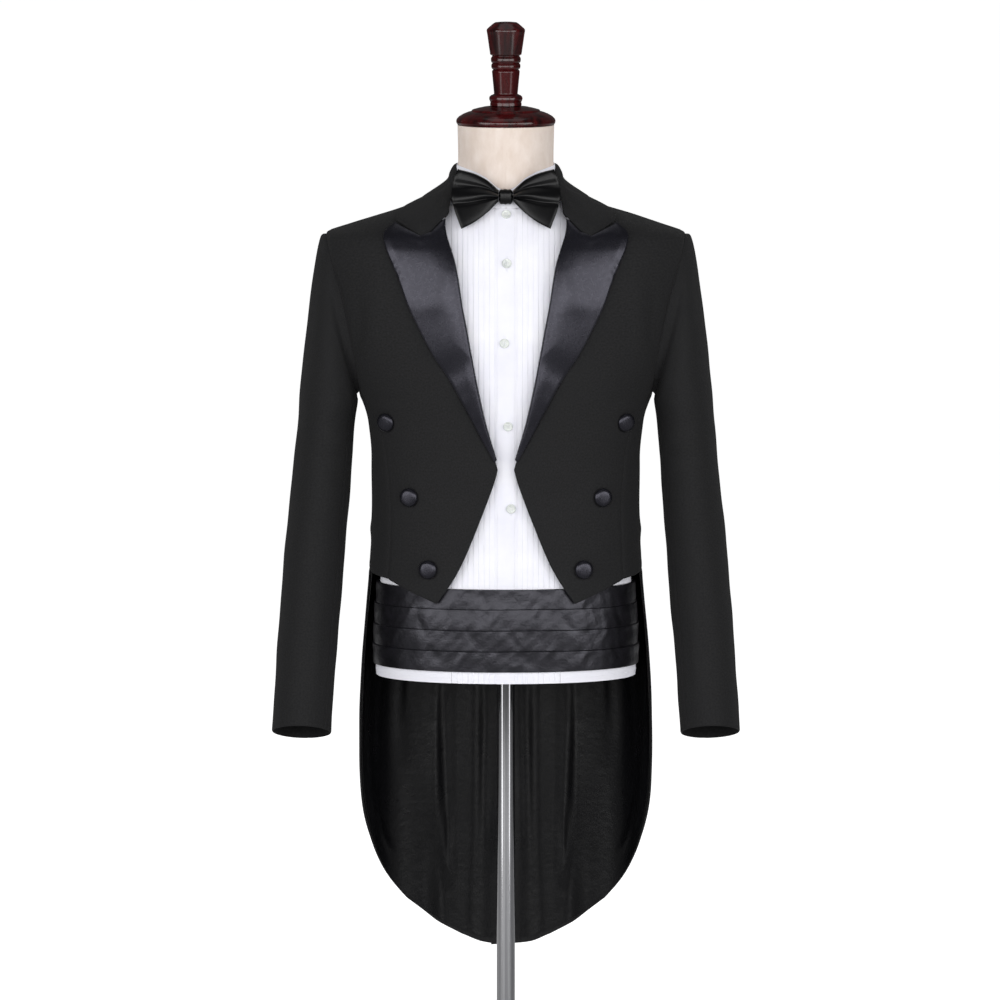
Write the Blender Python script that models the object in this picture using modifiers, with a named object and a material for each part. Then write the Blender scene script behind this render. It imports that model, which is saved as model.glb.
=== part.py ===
"""A black tailcoat suit as a limbless dress form wears it: tailcoat, pleated dress shirt, cummerbund and bow tie.

Metres, +Z up, the front at -Y, the wearer's left at +X. The origin is the middle of the base's underside.
Every cloth is a wall of points on one of two hollow bodies: the coat, and the form that the shirt follows.
A place on a body is a turn in degrees from the centre front, and a height. Positive turns go to +X.
"""

import math
from collections import namedtuple

import bmesh
import bpy
import numpy as np

# Walls and gaps
WOOL = 0.0020
SATIN = 0.0020
SHIRTING = 0.0012
LINING = 0.0010
SEAM_GAP = 0.0004
SLEEVE_GAP = 0.0005
LAY_GAP = 0.0003

# Driving heights of the coat
HEM = 0.4405
WAIST_SIDE = 0.919
WAIST_BACK = 0.935
ARMPIT = 1.130
SHOULDER_TIP = 1.321
NECK_SIDE = 1.376
NECK_BACK = 1.379

# Driving turns of the coat's seams
FRONT_SEAM = 66.0
TAIL_FRONT = 92.0
BACK_SEAM = 153.0

# Shirt, cummerbund and stand
SHIRT_HEM = 0.791
SHIRT_LAY = 0.0008
PLACKET_HALF = 0.0135
BIB_HALF = 0.064
PLEATS_A_SIDE = 8
PLEAT_RISE = 0.0007
CUMMERBUND_LOW = 0.805
CUMMERBUND_HIGH = 0.903
CUMMERBUND_PLEATS = 4
CUMMERBUND_COLUMNS = 18
FORM_BOTTOM = 0.803
FORM_EASE = 0.0064
NECK_BARE = 1.385
NECK_TOP = 1.451
POLE_RADIUS = 0.011
BASE_RADIUS = 0.175

Section = namedtuple("Section", "height half_width front back")

COAT_SECTIONS = (
    Section(0.430, 0.171, 0.105, 0.134),
    Section(0.520, 0.174, 0.106, 0.134),
    Section(0.640, 0.1770, 0.107, 0.132),
    Section(0.712, 0.1775, 0.108, 0.130),
    Section(0.780, 0.1752, 0.109, 0.128),
    Section(0.850, 0.1703, 0.109, 0.123),
    Section(0.913, 0.1640, 0.108, 0.113),
    Section(0.950, 0.1620, 0.107, 0.105),
    Section(1.000, 0.1608, 0.107, 0.101),
    Section(1.050, 0.1608, 0.110, 0.106),
    Section(1.096, 0.1656, 0.114, 0.113),
    Section(1.120, 0.1728, 0.117, 0.116),
    Section(1.130, 0.1765, 0.118, 0.117),
    Section(1.175, 0.1920, 0.121, 0.121),
    Section(1.235, 0.2080, 0.120, 0.122),
    Section(1.280, 0.2170, 0.113, 0.117),
    Section(1.305, 0.2200, 0.106, 0.112),
    Section(1.316, 0.2185, 0.101, 0.107),
    Section(1.322, 0.2140, 0.098, 0.104),
    Section(1.331, 0.1900, 0.093, 0.099),
    Section(1.341, 0.1600, 0.087, 0.093),
    Section(1.350, 0.1300, 0.081, 0.088),
    Section(1.360, 0.1010, 0.074, 0.082),
    Section(1.369, 0.0800, 0.068, 0.076),
    Section(1.379, 0.0690, 0.064, 0.071),
    Section(1.389, 0.0640, 0.0625, 0.067),
    Section(1.404, 0.0612, 0.0620, 0.0635),
    Section(1.415, 0.0610, 0.0620, 0.0630),
)

FORM_SECTIONS = (
    Section(0.780, 0.1545, 0.109, 0.112),
    Section(0.850, 0.1530, 0.106, 0.108),
    Section(0.900, 0.1490, 0.099, 0.100),
    Section(0.950, 0.1430, 0.095, 0.092),
    Section(1.000, 0.1430, 0.096, 0.092),
    Section(1.050, 0.1490, 0.099, 0.098),
    Section(1.100, 0.1570, 0.104, 0.105),
    Section(1.150, 0.1650, 0.110, 0.110),
    Section(1.200, 0.1700, 0.112, 0.112),
    Section(1.250, 0.1720, 0.108, 0.110),
    Section(1.290, 0.1710, 0.098, 0.102),
    Section(1.310, 0.1640, 0.090, 0.095),
    Section(1.322, 0.1500, 0.084, 0.090),
    Section(1.332, 0.1300, 0.079, 0.085),
    Section(1.342, 0.1060, 0.074, 0.079),
    Section(1.352, 0.0840, 0.068, 0.072),
    Section(1.362, 0.0690, 0.063, 0.065),
    Section(1.372, 0.0605, 0.0595, 0.0605),
    Section(1.385, 0.0575, 0.0575, 0.0575),
    Section(1.410, 0.0570, 0.0570, 0.0570),
    Section(1.460, 0.0580, 0.0580, 0.0580),
)

# A soft fold of the tails: its turn from the centre front, its half width in degrees, and its depth at the hem.
TailFold = namedtuple("TailFold", "turn half_width depth")
TAIL_FOLDS = (
    TailFold(107.0, 7.0, -0.0035),
    TailFold(122.0, 8.0, 0.0050),
    TailFold(138.0, 7.0, -0.0060),
    TailFold(149.0, 5.5, 0.0045),
    TailFold(160.0, 5.0, -0.0055),
    TailFold(171.0, 5.0, 0.0030),
)
FOLD_TOP = 0.900
FOLD_FULL = 0.600


def smooth_curve(stations, values):
    """A function that runs smoothly through the values and never overshoots them (a monotone cubic)."""
    x = np.asarray(stations, float)
    y = np.asarray(values, float)
    width = np.diff(x)
    slope = np.diff(y) / width
    tangent = np.zeros_like(y)
    same_way = slope[:-1] * slope[1:] > 0
    product = slope[:-1] * slope[1:]
    total = np.where(same_way, slope[:-1] + slope[1:], 1.0)
    tangent[1:-1] = np.where(same_way, 2 * product / total, 0.0)
    tangent[0], tangent[-1] = slope[0], slope[-1]

    def value_at(where):
        where = np.clip(np.asarray(where, float), x[0], x[-1])
        i = np.clip(np.searchsorted(x, where) - 1, 0, len(x) - 2)
        t = (where - x[i]) / width[i]
        start = (1 + 2 * t) * (1 - t) ** 2 * y[i] + t * (1 - t) ** 2 * width[i] * tangent[i]
        end = t * t * (3 - 2 * t) * y[i + 1] + t * t * (t - 1) * width[i] * tangent[i + 1]
        return start + end

    return value_at


def ease(t):
    """Runs from 0 to 1 as t does, with a soft start and end."""
    t = np.clip(t, 0, 1)
    return t * t * (3 - 2 * t)


def unit(vectors):
    return vectors / np.linalg.norm(vectors, axis=-1, keepdims=True)


class Body:
    """A hollow of horizontal sections, each a rounded oval that is deeper at the front or the back."""

    def __init__(self, sections, squareness, folds=()):
        heights = [s.height for s in sections]
        self.half_width = smooth_curve(heights, [s.half_width for s in sections])
        self.front = smooth_curve(heights, [s.front for s in sections])
        self.back = smooth_curve(heights, [s.back for s in sections])
        self.squareness = squareness
        self.folds = folds

    def fold_depth(self, turn, height):
        """How far the tails' folds stand out (or in, if negative) of the plain body."""
        from_front = np.abs((turn + 180) % 360 - 180)
        low = ease((FOLD_TOP - height) / (FOLD_TOP - FOLD_FULL))
        depth = 0.0
        for fold in self.folds:
            depth = depth + fold.depth * np.exp(-(((from_front - fold.turn) / fold.half_width) ** 2))
        return depth * low

    def surface(self, turn, height):
        across, along = np.sin(np.radians(turn)), np.cos(np.radians(turn))
        depth = np.where(along > 0, self.front(height), self.back(height))
        n = self.squareness
        shape = np.abs(across / self.half_width(height)) ** n + np.abs(along / depth) ** n
        radius = shape ** (-1 / n) + self.fold_depth(turn, height)
        return np.stack([radius * across, -radius * along, height + 0 * radius], axis=-1)

    def point(self, turn, height, out=0.0):
        """Points that far out of the body, or inside it where out is negative."""
        turn, height, out = np.broadcast_arrays(
            np.asarray(turn, float), np.asarray(height, float), np.asarray(out, float)
        )
        step_turn, step_height = 0.25, 0.0004
        across = self.surface(turn + step_turn, height) - self.surface(turn - step_turn, height)
        up = self.surface(turn, height + step_height) - self.surface(turn, height - step_height)
        return self.surface(turn, height) + unit(np.cross(across, up)) * out[..., None]

    def turn_at(self, x, height, back=False):
        """The turn at which the body's section is x wide, on its front or its back."""
        half = self.half_width(height)
        depth = self.back(height) if back else self.front(height)
        share = np.clip(np.abs(x) / half, 0, 1)
        y = depth * (1 - share**self.squareness) ** (1 / self.squareness)
        turn = np.degrees(np.arctan2(np.abs(x), y))
        return 180 - turn if back else turn


COAT = Body(COAT_SECTIONS, 2.3, TAIL_FOLDS)
FORM = Body(FORM_SECTIONS, 2.15)


# Edges of panels: each is an array of (turn, height) stations


def spread(controls, count):
    """count + 1 stations, smoothly through the control points, evenly between each and the next."""
    controls = np.asarray(controls, float)
    index = np.arange(len(controls))
    where = np.linspace(0, len(controls) - 1, count + 1)
    return np.stack([smooth_curve(index, controls[:, k])(where) for k in range(2)], axis=-1)


def joined(*runs):
    """Runs of stations end to end, each starting where the one before it ends."""
    return np.concatenate([runs[0]] + [run[1:] for run in runs[1:]])


def patch(bottom, top, left, right):
    """Stations over a four-sided panel, [row, column], spread evenly between its edges (a Coons patch)."""
    u = np.linspace(0, 1, len(bottom))[None, :, None]
    v = np.linspace(0, 1, len(left))[:, None, None]
    across = (1 - v) * bottom[None] + v * top[None]
    along = (1 - u) * left[:, None] + u * right[:, None]
    corners = (1 - u) * (1 - v) * bottom[0] + u * (1 - v) * bottom[-1] + (1 - u) * v * top[0] + u * v * top[-1]
    return across + along - corners


def inset(points, gap, edges="bottom top left right"):
    """Moves the named edges of a grid of points in by half a seam gap, so that panels don't touch."""
    made = points.copy()
    for name, here, inner in (
        ("bottom", np.s_[0], np.s_[1]),
        ("top", np.s_[-1], np.s_[-2]),
        ("left", np.s_[:, 0], np.s_[:, 1]),
        ("right", np.s_[:, -1], np.s_[:, -2]),
    ):
        if name in edges.split():
            made[here] += unit(points[inner] - points[here]) * gap / 2
    return made


# Making objects


def cloth_material(name, colour, roughness, metallic=0.0, sheen=0.0):
    made = bpy.data.materials.new(name)
    made.use_nodes = True
    shader = made.node_tree.nodes["Principled BSDF"]
    shader.inputs["Base Color"].default_value = (*colour, 1.0)
    shader.inputs["Roughness"].default_value = roughness
    shader.inputs["Metallic"].default_value = metallic
    shader.inputs["Sheen Weight"].default_value = sheen
    made.diffuse_color = (*colour, 1.0)
    return made


def add_object(name, mesh, material, smooth=True):
    made = bpy.data.objects.new(name, mesh)
    mesh.materials.append(material)
    if smooth:
        mesh.shade_smooth()
    PARTS.objects.link(made)
    return made


def wall(name, outer, inner, material):
    """A sheet of cloth between two grids of points, closed round its rim.

    Every cell is cut along the same diagonal, so that layers on the same stations keep their distance.
    """
    rows, columns = outer.shape[:2]
    build = bmesh.new()
    grids = [[[build.verts.new(p) for p in row] for row in grid] for grid in (outer, inner)]
    for grid in grids:
        for i in range(rows - 1):
            for j in range(columns - 1):
                build.faces.new([grid[i][j], grid[i][j + 1], grid[i + 1][j + 1]])
                build.faces.new([grid[i][j], grid[i + 1][j + 1], grid[i + 1][j]])
    rims = [[(i, j) for j in range(columns)] for i in (0, rows - 1)]
    rims += [[(i, j) for i in range(rows)] for j in (0, columns - 1)]
    for rim in rims:
        for (a, b), (c, d) in zip(rim, rim[1:]):
            build.faces.new([grids[0][a][b], grids[0][c][d], grids[1][c][d], grids[1][a][b]])
    bmesh.ops.recalc_face_normals(build, faces=build.faces)
    mesh = bpy.data.meshes.new(name)
    build.to_mesh(mesh)
    build.free()
    return add_object(name, mesh, material)


def mirrored(points):
    """The same points on the other side of the body."""
    return points * np.array([-1.0, 1.0, 1.0])


def pair(name, outer, inner, material):
    """A panel on the wearer's left, and its mirror image on the right."""
    wall(name + "_left", outer, inner, material)
    wall(name + "_right", mirrored(outer), mirrored(inner), material)


def turned(name, profile, steps, material):
    """A turned shape: a profile of (radius, height) points, from the top down its outer side, round +Z."""
    mesh = bpy.data.meshes.new(name)
    edges = [(i, i + 1) for i in range(len(profile) - 1)]
    mesh.from_pydata([(radius, 0.0, height) for radius, height in profile], edges, [])
    made = add_object(name, mesh, material, smooth=False)
    screw = made.modifiers.new("Turn", "SCREW")
    screw.axis = "Z"
    screw.steps = screw.render_steps = steps
    screw.use_merge_vertices = True
    screw.merge_threshold = 0.00002
    screw.use_smooth_shade = True
    return made


def face_along(thing, place, direction):
    """Seats a turned piece at a place, with its own +Z along a direction."""
    from_axis = np.array([0.0, 0.0, 1.0])
    direction = unit(np.asarray(direction, float))
    axis = np.cross(from_axis, direction)
    thing.rotation_mode = "AXIS_ANGLE"
    thing.rotation_axis_angle = (math.acos(direction[2]), *axis)
    thing.location = place


# The coat's seam lines, on the wearer's left

ROWS_SEAM = 8
ROWS_ARM = 8
ROWS_TAIL = 12
FRONT_COLUMNS = 8
SIDE_COLUMNS = 5
BACK_COLUMNS = 4
SKIRT_COLUMNS = 8

armhole_x = smooth_curve(
    (ARMPIT, 1.150, 1.175, 1.235, 1.290, 1.316, SHOULDER_TIP),
    (0.1765, 0.1778, 0.1812, 0.1930, 0.2080, 0.2140, 0.2146),
)
FRONT_SEAM_TOP = 1.141
BACK_SEAM_TOP = 1.186


def armhole_turn(height, back):
    return COAT.turn_at(armhole_x(height), height, back)


def armhole_run(low, high, count, back):
    """Stations up one side of the armhole, closer together towards its top and bottom."""
    heights = low + (high - low) * (1 - np.cos(np.linspace(0, math.pi, count + 1))) / 2
    run = np.stack([armhole_turn(heights, back), heights], axis=-1)
    if high == SHOULDER_TIP:
        run[-1, 0] = 90.0
    return run


def armhole_floor(count):
    """Stations under the arm, from the front seam's top through the armpit to the back seam's top."""
    angle = np.linspace(-1, 1, count + 1)
    back = angle > 0
    rise = np.where(back, BACK_SEAM_TOP - ARMPIT, FRONT_SEAM_TOP - ARMPIT)
    heights = ARMPIT + rise * angle**2
    turns = np.where(back, armhole_turn(heights, True), armhole_turn(heights, False))
    turns = np.where(np.abs(angle) < 1e-9, 90.0, turns)
    return np.stack([turns, heights], axis=-1)


def on_front(points):
    """Places on the coat's front, given as (x, height), as (turn, height)."""
    return [(float(COAT.turn_at(x, height)), height) for x, height in points]


def on_back(points):
    return [(float(COAT.turn_at(x, height, True)), height) for x, height in points]


# Cut edge of the front, from its point at the waist up to the place where the fronts come nearest
FRONT_POINT = (0.0828, 0.8857)
FRONT_CUT = (FRONT_POINT, (0.0590, 0.9210), (0.0318, 0.9830), (0.0130, 1.0340), (0.0097, 1.0470))
# Roll line of the lapel, from there up to the end of the collar
ROLL_LINE = ((0.0108, 1.0600), (0.0221, 1.0990), (0.0315, 1.1400), (0.0385, 1.1750))
ROLL_LINE_UPPER = ((0.0385, 1.1750), (0.0492, 1.2330), (0.0593, 1.2920), (0.0712, 1.3434))
# Outer edge of the lapel, from its bottom up to the peak
LAPEL_EDGE = (
    (0.0135, 1.0560),
    (0.0324, 1.0905),
    (0.0593, 1.1420),
    (0.0890, 1.1900),
    (0.1115, 1.2347),
    (0.1306, 1.2810),
    (0.1448, 1.3290),
)
GORGE = (0.1010, 1.3264)
GORGE_BEND = (0.0880, 1.3300)
NOTCH = (0.1309, 1.3375)
ROLL_TUCK = 0.0025
NECK_EDGE = ((45.5, 1.3460), (60.0, 1.3600), (75.0, 1.3705), (90.0, NECK_SIDE))
HEM_AT_FRONT_SEAM = 0.9120
TAIL_EDGE = (
    (TAIL_FRONT, WAIST_SIDE),
    (93.0, 0.850),
    (94.0, 0.780),
    (94.5, 0.712),
    (96.5, 0.659),
    (102.5, 0.6080),
    (108.0, 0.5812),
    (116.2, 0.5534),
    (123.9, 0.5263),
    (130.9, 0.5004),
)
TAIL_HEM = ((130.9, 0.5004), (145.1, 0.4732), (157.0, 0.4560))


def front_seam(count):
    return spread([(FRONT_SEAM, HEM_AT_FRONT_SEAM), (65.5, 0.98), (68.0, 1.07), (80.0, FRONT_SEAM_TOP)], count)


def back_seam(count):
    """The curved seam between side body and back, from the waist up into the armhole."""
    top = float(armhole_turn(BACK_SEAM_TOP, True))
    return spread([(BACK_SEAM, WAIST_BACK), (151.0, 1.01), (143.0, 1.09), (128.0, 1.15), (top, BACK_SEAM_TOP)], count)


def pleat_seam(count):
    """The seam between skirt and back strip, from the hem up to the waist."""
    return spread([(157.0, TAIL_HEM[-1][1]), (156.0, 0.60), (154.5, 0.76), (BACK_SEAM, WAIST_BACK)], count)


def waist_seam(count):
    return spread([(TAIL_FRONT, WAIST_SIDE), (112.0, 0.922), (132.0, 0.930), (BACK_SEAM, WAIST_BACK)], count)


def front_panel():
    """The forepart: cut edge, roll line and neck on one side, side seam and armhole on the other."""
    tucked = [(x + ROLL_TUCK, z) for x, z in ROLL_LINE_UPPER]
    lower = spread(on_front(FRONT_CUT), 5)
    middle = spread(on_front([FRONT_CUT[-1]] + [(x + ROLL_TUCK, z) for x, z in ROLL_LINE[1:3]]), 3)
    upper = spread(on_front([(ROLL_LINE[2][0] + ROLL_TUCK, ROLL_LINE[2][1])] + tucked[:-1]), 4)
    throat = spread([*on_front(tucked[-2:-1]), *NECK_EDGE], ROWS_ARM - 4)
    left = joined(lower, middle, upper, throat)
    right = joined(front_seam(ROWS_SEAM), armhole_run(FRONT_SEAM_TOP, SHOULDER_TIP, ROWS_ARM, False))
    right[ROWS_SEAM] = (armhole_turn(FRONT_SEAM_TOP, False), FRONT_SEAM_TOP)
    bottom = spread([left[0], *on_front([(0.1180, 0.9005)]), right[0]], FRONT_COLUMNS)
    top = spread([left[-1], right[-1]], FRONT_COLUMNS)
    return patch(bottom, top, left, right)


def side_panel():
    """The side body, between the front seam and the back seam, under the arm."""
    left, right = front_seam(ROWS_SEAM), back_seam(ROWS_SEAM)
    left[-1] = (armhole_turn(FRONT_SEAM_TOP, False), FRONT_SEAM_TOP)
    hem = spread([left[0], (TAIL_FRONT, WAIST_SIDE)], 2)
    bottom = joined(hem, waist_seam(SIDE_COLUMNS - 2))
    return patch(bottom, armhole_floor(SIDE_COLUMNS), left, right)


def back_panel(vent_turn):
    """The back, cut in one with the strip that runs down the tail, from the hem up to the shoulder."""
    vent = spread([(vent_turn, HEM), (vent_turn, 0.70), (vent_turn, 0.915)], ROWS_TAIL - 1)
    vent = joined(vent, np.array([vent[-1], (180.0, WAIST_BACK)]))
    centre = spread([(180.0, WAIST_BACK), (180.0, 1.20)], ROWS_SEAM)
    neck = [(180.0, 1.20), (180.0, 1.32), (180.0, NECK_BACK), (140.0, NECK_BACK), (90.0, NECK_SIDE)]
    right = joined(pleat_seam(ROWS_TAIL), back_seam(ROWS_SEAM), armhole_run(BACK_SEAM_TOP, SHOULDER_TIP, ROWS_ARM, True))
    left = joined(vent, centre, spread(neck, ROWS_ARM))
    bottom = spread([left[0], (168.0, HEM + 0.0045), right[0]], BACK_COLUMNS)
    top = spread([left[-1], right[-1]], BACK_COLUMNS)
    return patch(bottom, top, left, right)


def skirt_panel():
    """The skirt of the tail, from its rounded front edge to the pleat seam."""
    left = spread(TAIL_EDGE[::-1], ROWS_TAIL)
    right = pleat_seam(ROWS_TAIL)
    bottom = spread(TAIL_HEM, SKIRT_COLUMNS)
    return patch(bottom, waist_seam(SKIRT_COLUMNS), left, right)


HEM_MARGIN = 0.16


def with_margin(stations):
    """Adds a row close to the bottom and a column close to the left edge, where a lining stops short."""
    row = stations[:1] + (stations[1:2] - stations[:1]) * HEM_MARGIN
    stations = np.concatenate([stations[:1], row, stations[1:]], axis=0)
    column = stations[:, :1] + (stations[:, 1:2] - stations[:, :1]) * HEM_MARGIN
    return np.concatenate([stations[:, :1], column, stations[:, 1:]], axis=1)


VENT_LAP = 7.5
VENT_TOP = 0.960
LAP_LIFT = WOOL + LINING + LAY_GAP + 0.0009


def lap_lift(stations):
    """How far the left tail stands out near the centre, where it laps over the right one."""
    near = ease((stations[..., 0] - 172.0) / 6.0)
    low = ease((VENT_TOP - stations[..., 1]) / 0.020)
    return LAP_LIFT * near * low


def make_coat_body(wool, satin, lining):
    front, side, skirt = front_panel(), side_panel(), with_margin(skirt_panel())
    for name, stations in (("front", front), ("side_body", side), ("skirt", skirt)):
        outer = inset(COAT.point(stations[..., 0], stations[..., 1]), SEAM_GAP)
        inner = inset(COAT.point(stations[..., 0], stations[..., 1], -WOOL), SEAM_GAP)
        pair(name, outer, inner, wool)
    backs = (("left", with_margin(back_panel(180.0 + VENT_LAP)), 1), ("right", with_margin(back_panel(180.0)), 0))
    for side_name, stations, laps in backs:
        lift = laps * lap_lift(stations)
        outer = inset(COAT.point(stations[..., 0], stations[..., 1], lift), SEAM_GAP)
        inner = inset(COAT.point(stations[..., 0], stations[..., 1], lift - WOOL), SEAM_GAP)
        if side_name == "right":
            outer, inner = mirrored(outer), mirrored(inner)
        wall("back_" + side_name, outer, inner, wool)
        strip, lift = stations[1 : ROWS_TAIL + 1, 1:], lift[1 : ROWS_TAIL + 1, 1:]
        outer = inset(COAT.point(strip[..., 0], strip[..., 1], lift - WOOL - LAY_GAP), SEAM_GAP)
        inner = inset(COAT.point(strip[..., 0], strip[..., 1], lift - WOOL - LAY_GAP - LINING), SEAM_GAP)
        if side_name == "right":
            outer, inner = mirrored(outer), mirrored(inner)
        wall("strip_lining_" + side_name, outer, inner, lining)
    skirt = skirt[1:, 1:]
    outer = inset(COAT.point(skirt[..., 0], skirt[..., 1], -WOOL - LAY_GAP), SEAM_GAP)
    inner = inset(COAT.point(skirt[..., 0], skirt[..., 1], -WOOL - LAY_GAP - LINING), SEAM_GAP)
    pair("skirt_lining", outer, inner, lining)


def make_lapels(satin):
    rows, columns = 10, 8
    roll = spread(on_front(ROLL_LINE + ROLL_LINE_UPPER[1:]), rows)
    edge = spread(on_front(LAPEL_EDGE), rows)
    bottom = spread([roll[0], edge[0]], columns)
    top = spread([roll[-1], *on_front([GORGE_BEND, GORGE, NOTCH]), edge[-1]], columns)
    stations = patch(bottom, top, roll, edge)
    share = np.linspace(0, 1, columns + 1)[None, :]
    up = np.linspace(0, 1, rows + 1)[:, None]
    roll_bulge = 0.0035 * np.sin(math.pi * np.clip(share, 0, 1) ** 0.6) * ease(up / 0.25)
    lift = 0.0010 + 0.0026 * share**0.7 * ease(up / 0.7) + roll_bulge
    outer = inset(COAT.point(stations[..., 0], stations[..., 1], lift + SATIN), SEAM_GAP)
    inner = inset(COAT.point(stations[..., 0], stations[..., 1], lift), SEAM_GAP)
    pair("lapel", outer, inner, satin)


# The collar, as stations from its front end round to the centre back: the fold along its top, and the edge
# of the part that lies on the shoulders
CollarStation = namedtuple("CollarStation", "seam_turn seam_height fold_height edge_turn edge_height")
COLLAR_STATIONS = (
    CollarStation(43.5, 1.3455, 1.3500, 64.2, 1.3386),
    CollarStation(54.0, 1.3556, 1.3680, 74.5, 1.3485),
    CollarStation(66.0, 1.3648, 1.3850, 84.0, 1.3565),
    CollarStation(78.0, 1.3722, 1.3965, 91.0, 1.3610),
    CollarStation(92.0, NECK_SIDE + 0.0012, 1.4010, 99.0, 1.3610),
    CollarStation(122.0, 1.3797, 1.4030, 124.0, 1.3590),
    CollarStation(150.0, NECK_BACK + 0.0012, 1.4040, 151.0, 1.3575),
    CollarStation(180.0, NECK_BACK + 0.0012, 1.4045, 180.0, 1.3570),
)
COLLAR_WALL = 0.0015


def make_collar(wool):
    half = 11
    index = np.arange(len(COLLAR_STATIONS))
    where = np.linspace(0, len(COLLAR_STATIONS) - 1, half + 1)
    value = {f: smooth_curve(index, [getattr(s, f) for s in COLLAR_STATIONS])(where) for f in CollarStation._fields}
    front = np.clip(1 - np.arange(half + 1) / 2, 0, 1)
    gorge = {0.5: (GORGE, 0.6), 0.2: (GORGE_BEND, 0.9)}
    visible, hidden = [], []

    def row(turn, height, out, thick):
        visible.append(COAT.point(turn, height, out + thick))
        hidden.append(COAT.point(turn, height, out))

    for share, lift in ((1.0, 0.0027), (0.5, 0.0039), (0.2, 0.0030)):
        turn = value["seam_turn"] + (value["edge_turn"] - value["seam_turn"]) * share
        height = value["fold_height"] + (value["edge_height"] - value["fold_height"]) * share
        if share in gorge:
            (x, dip), aside = gorge[share]
            turn = turn + (float(COAT.turn_at(x, dip)) + aside - turn) * front
            height = height + (dip + 0.0014 - height) * front
        row(turn, height, lift, COLLAR_WALL)
    turn = value["seam_turn"]
    row(turn, value["fold_height"] - 0.0015, 0.0010, COLLAR_WALL)
    visible.append(COAT.point(turn, value["fold_height"] + 0.0012, 0.0))
    hidden.append(COAT.point(turn, value["fold_height"] - 0.0004, 0.0))
    row(turn, value["fold_height"] - 0.0018, -0.0004, -COLLAR_WALL)
    row(turn, value["seam_height"] + 0.0002, -0.0004, -COLLAR_WALL)
    visible, hidden = np.array(visible), np.array(hidden)
    whole = [np.concatenate([mirrored(g), g[:, -2::-1]], axis=1) for g in (visible, hidden)]
    wall("collar", whole[0], whole[1], wool)


# Sleeve rings below the armhole: the outer and the inner point seen from the front, half the depth, the
# middle's place from front to back, and the ring's forward tilt in degrees
SleeveRing = namedtuple("SleeveRing", "outer_x outer_z inner_x inner_z half_depth middle_y tilt")
SLEEVE_RINGS = (
    SleeveRing(0.2225, 1.3130, 0.1785, 1.1275, 0.0545, 0.002, 0.0),
    SleeveRing(0.2290, 1.2840, 0.1782, 1.1255, 0.0595, 0.002, 0.0),
    SleeveRing(0.2375, 1.2200, 0.1779, 1.1228, 0.0630, 0.002, 0.0),
    SleeveRing(0.2465, 1.1400, 0.1778, 1.1180, 0.0620, 0.003, 0.0),
    SleeveRing(0.2500, 1.0960, 0.1812, 1.0900, 0.0605, 0.004, 0.0),
    SleeveRing(0.2565, 1.0300, 0.1860, 1.0260, 0.0585, 0.004, 2.0),
    SleeveRing(0.2650, 0.9500, 0.1922, 0.9480, 0.0555, -0.003, 6.5),
    SleeveRing(0.2712, 0.8700, 0.1985, 0.8680, 0.0530, -0.015, 11.0),
    SleeveRing(0.2762, 0.7980, 0.2045, 0.7960, 0.0505, -0.031, 14.0),
    SleeveRing(0.2800, 0.7268, 0.2088, 0.7250, 0.0490, -0.050, 16.0),
)
FRONT_ARM_STATION = 7
HIND_ARM_STATION = 6
RINGS_SQUARENESS = 2.0


def sleeve_ring(ring, angle, inside=0.0):
    """Points round a sleeve. Angle 0 is its outer side, 90 its front and 180 the side next to the body."""
    outer = np.array([ring.outer_x, 0.0, ring.outer_z])
    inner = np.array([ring.inner_x, 0.0, ring.inner_z])
    middle = (outer + inner) / 2 + np.array([0.0, ring.middle_y, 0.0])
    half = np.linalg.norm(outer - inner) / 2
    out = (outer - inner) / (2 * half)
    tilt = math.radians(ring.tilt)
    forward = np.array([0.0, -math.cos(tilt), math.sin(tilt)])
    c, s = np.cos(np.radians(angle)), np.sin(np.radians(angle))
    p = 2 / RINGS_SQUARENESS
    c, s = np.sign(c) * np.abs(c) ** p, np.sign(s) * np.abs(s) ** p
    return middle + (c * (half - inside))[:, None] * out + (s * (ring.half_depth - inside))[:, None] * forward


def armhole_loop():
    """The panels' own stations round the armhole, from the tip of the shoulder down the front and up the back,
    and each one's angle on the sleeve's rings."""
    front = armhole_run(FRONT_SEAM_TOP, SHOULDER_TIP, ROWS_ARM, False)[::-1]
    back = armhole_run(BACK_SEAM_TOP, SHOULDER_TIP, ROWS_ARM, True)
    loop = joined(front, armhole_floor(SIDE_COLUMNS), back)
    middle, half = (ARMPIT + SHOULDER_TIP) / 2, (SHOULDER_TIP - ARMPIT) / 2
    angle = np.degrees(np.arccos(np.clip((loop[:, 1] - middle) / half, -1, 1)))
    angle = np.where(loop[:, 0] > 90.0, 360 - angle, angle)
    angle[-1] = 360.0
    return loop, angle


def armhole_ring(stations, inside=0.0):
    """The sleeve's first ring, a seam's gap inside the armhole."""
    made = COAT.point(stations[:, 0], stations[:, 1], -inside)
    made[:, 0] += SEAM_GAP
    toward = unit(np.stack([-made[:, 1], (ARMPIT + SHOULDER_TIP) / 2 - made[:, 2]], axis=-1))
    made[:, 1:] += SLEEVE_GAP * toward
    return made


def make_sleeves(wool):
    loop, angle = armhole_loop()
    front, hind = FRONT_ARM_STATION, len(loop) - 1 - HIND_ARM_STATION
    top = np.r_[hind : len(loop) - 1, 0 : front + 1]
    for name, chosen in (("top_sleeve", top), ("under_sleeve", np.arange(front, hind + 1))):
        grids = []
        for inside in (0.0, WOOL):
            rows = [armhole_ring(loop[chosen], inside)]
            rows += [sleeve_ring(ring, angle[chosen], inside) for ring in SLEEVE_RINGS]
            grids.append(inset(np.array(rows)[::-1], SEAM_GAP, "left right"))
        pair(name, grids[0], grids[1], wool)


# The shirt

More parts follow.
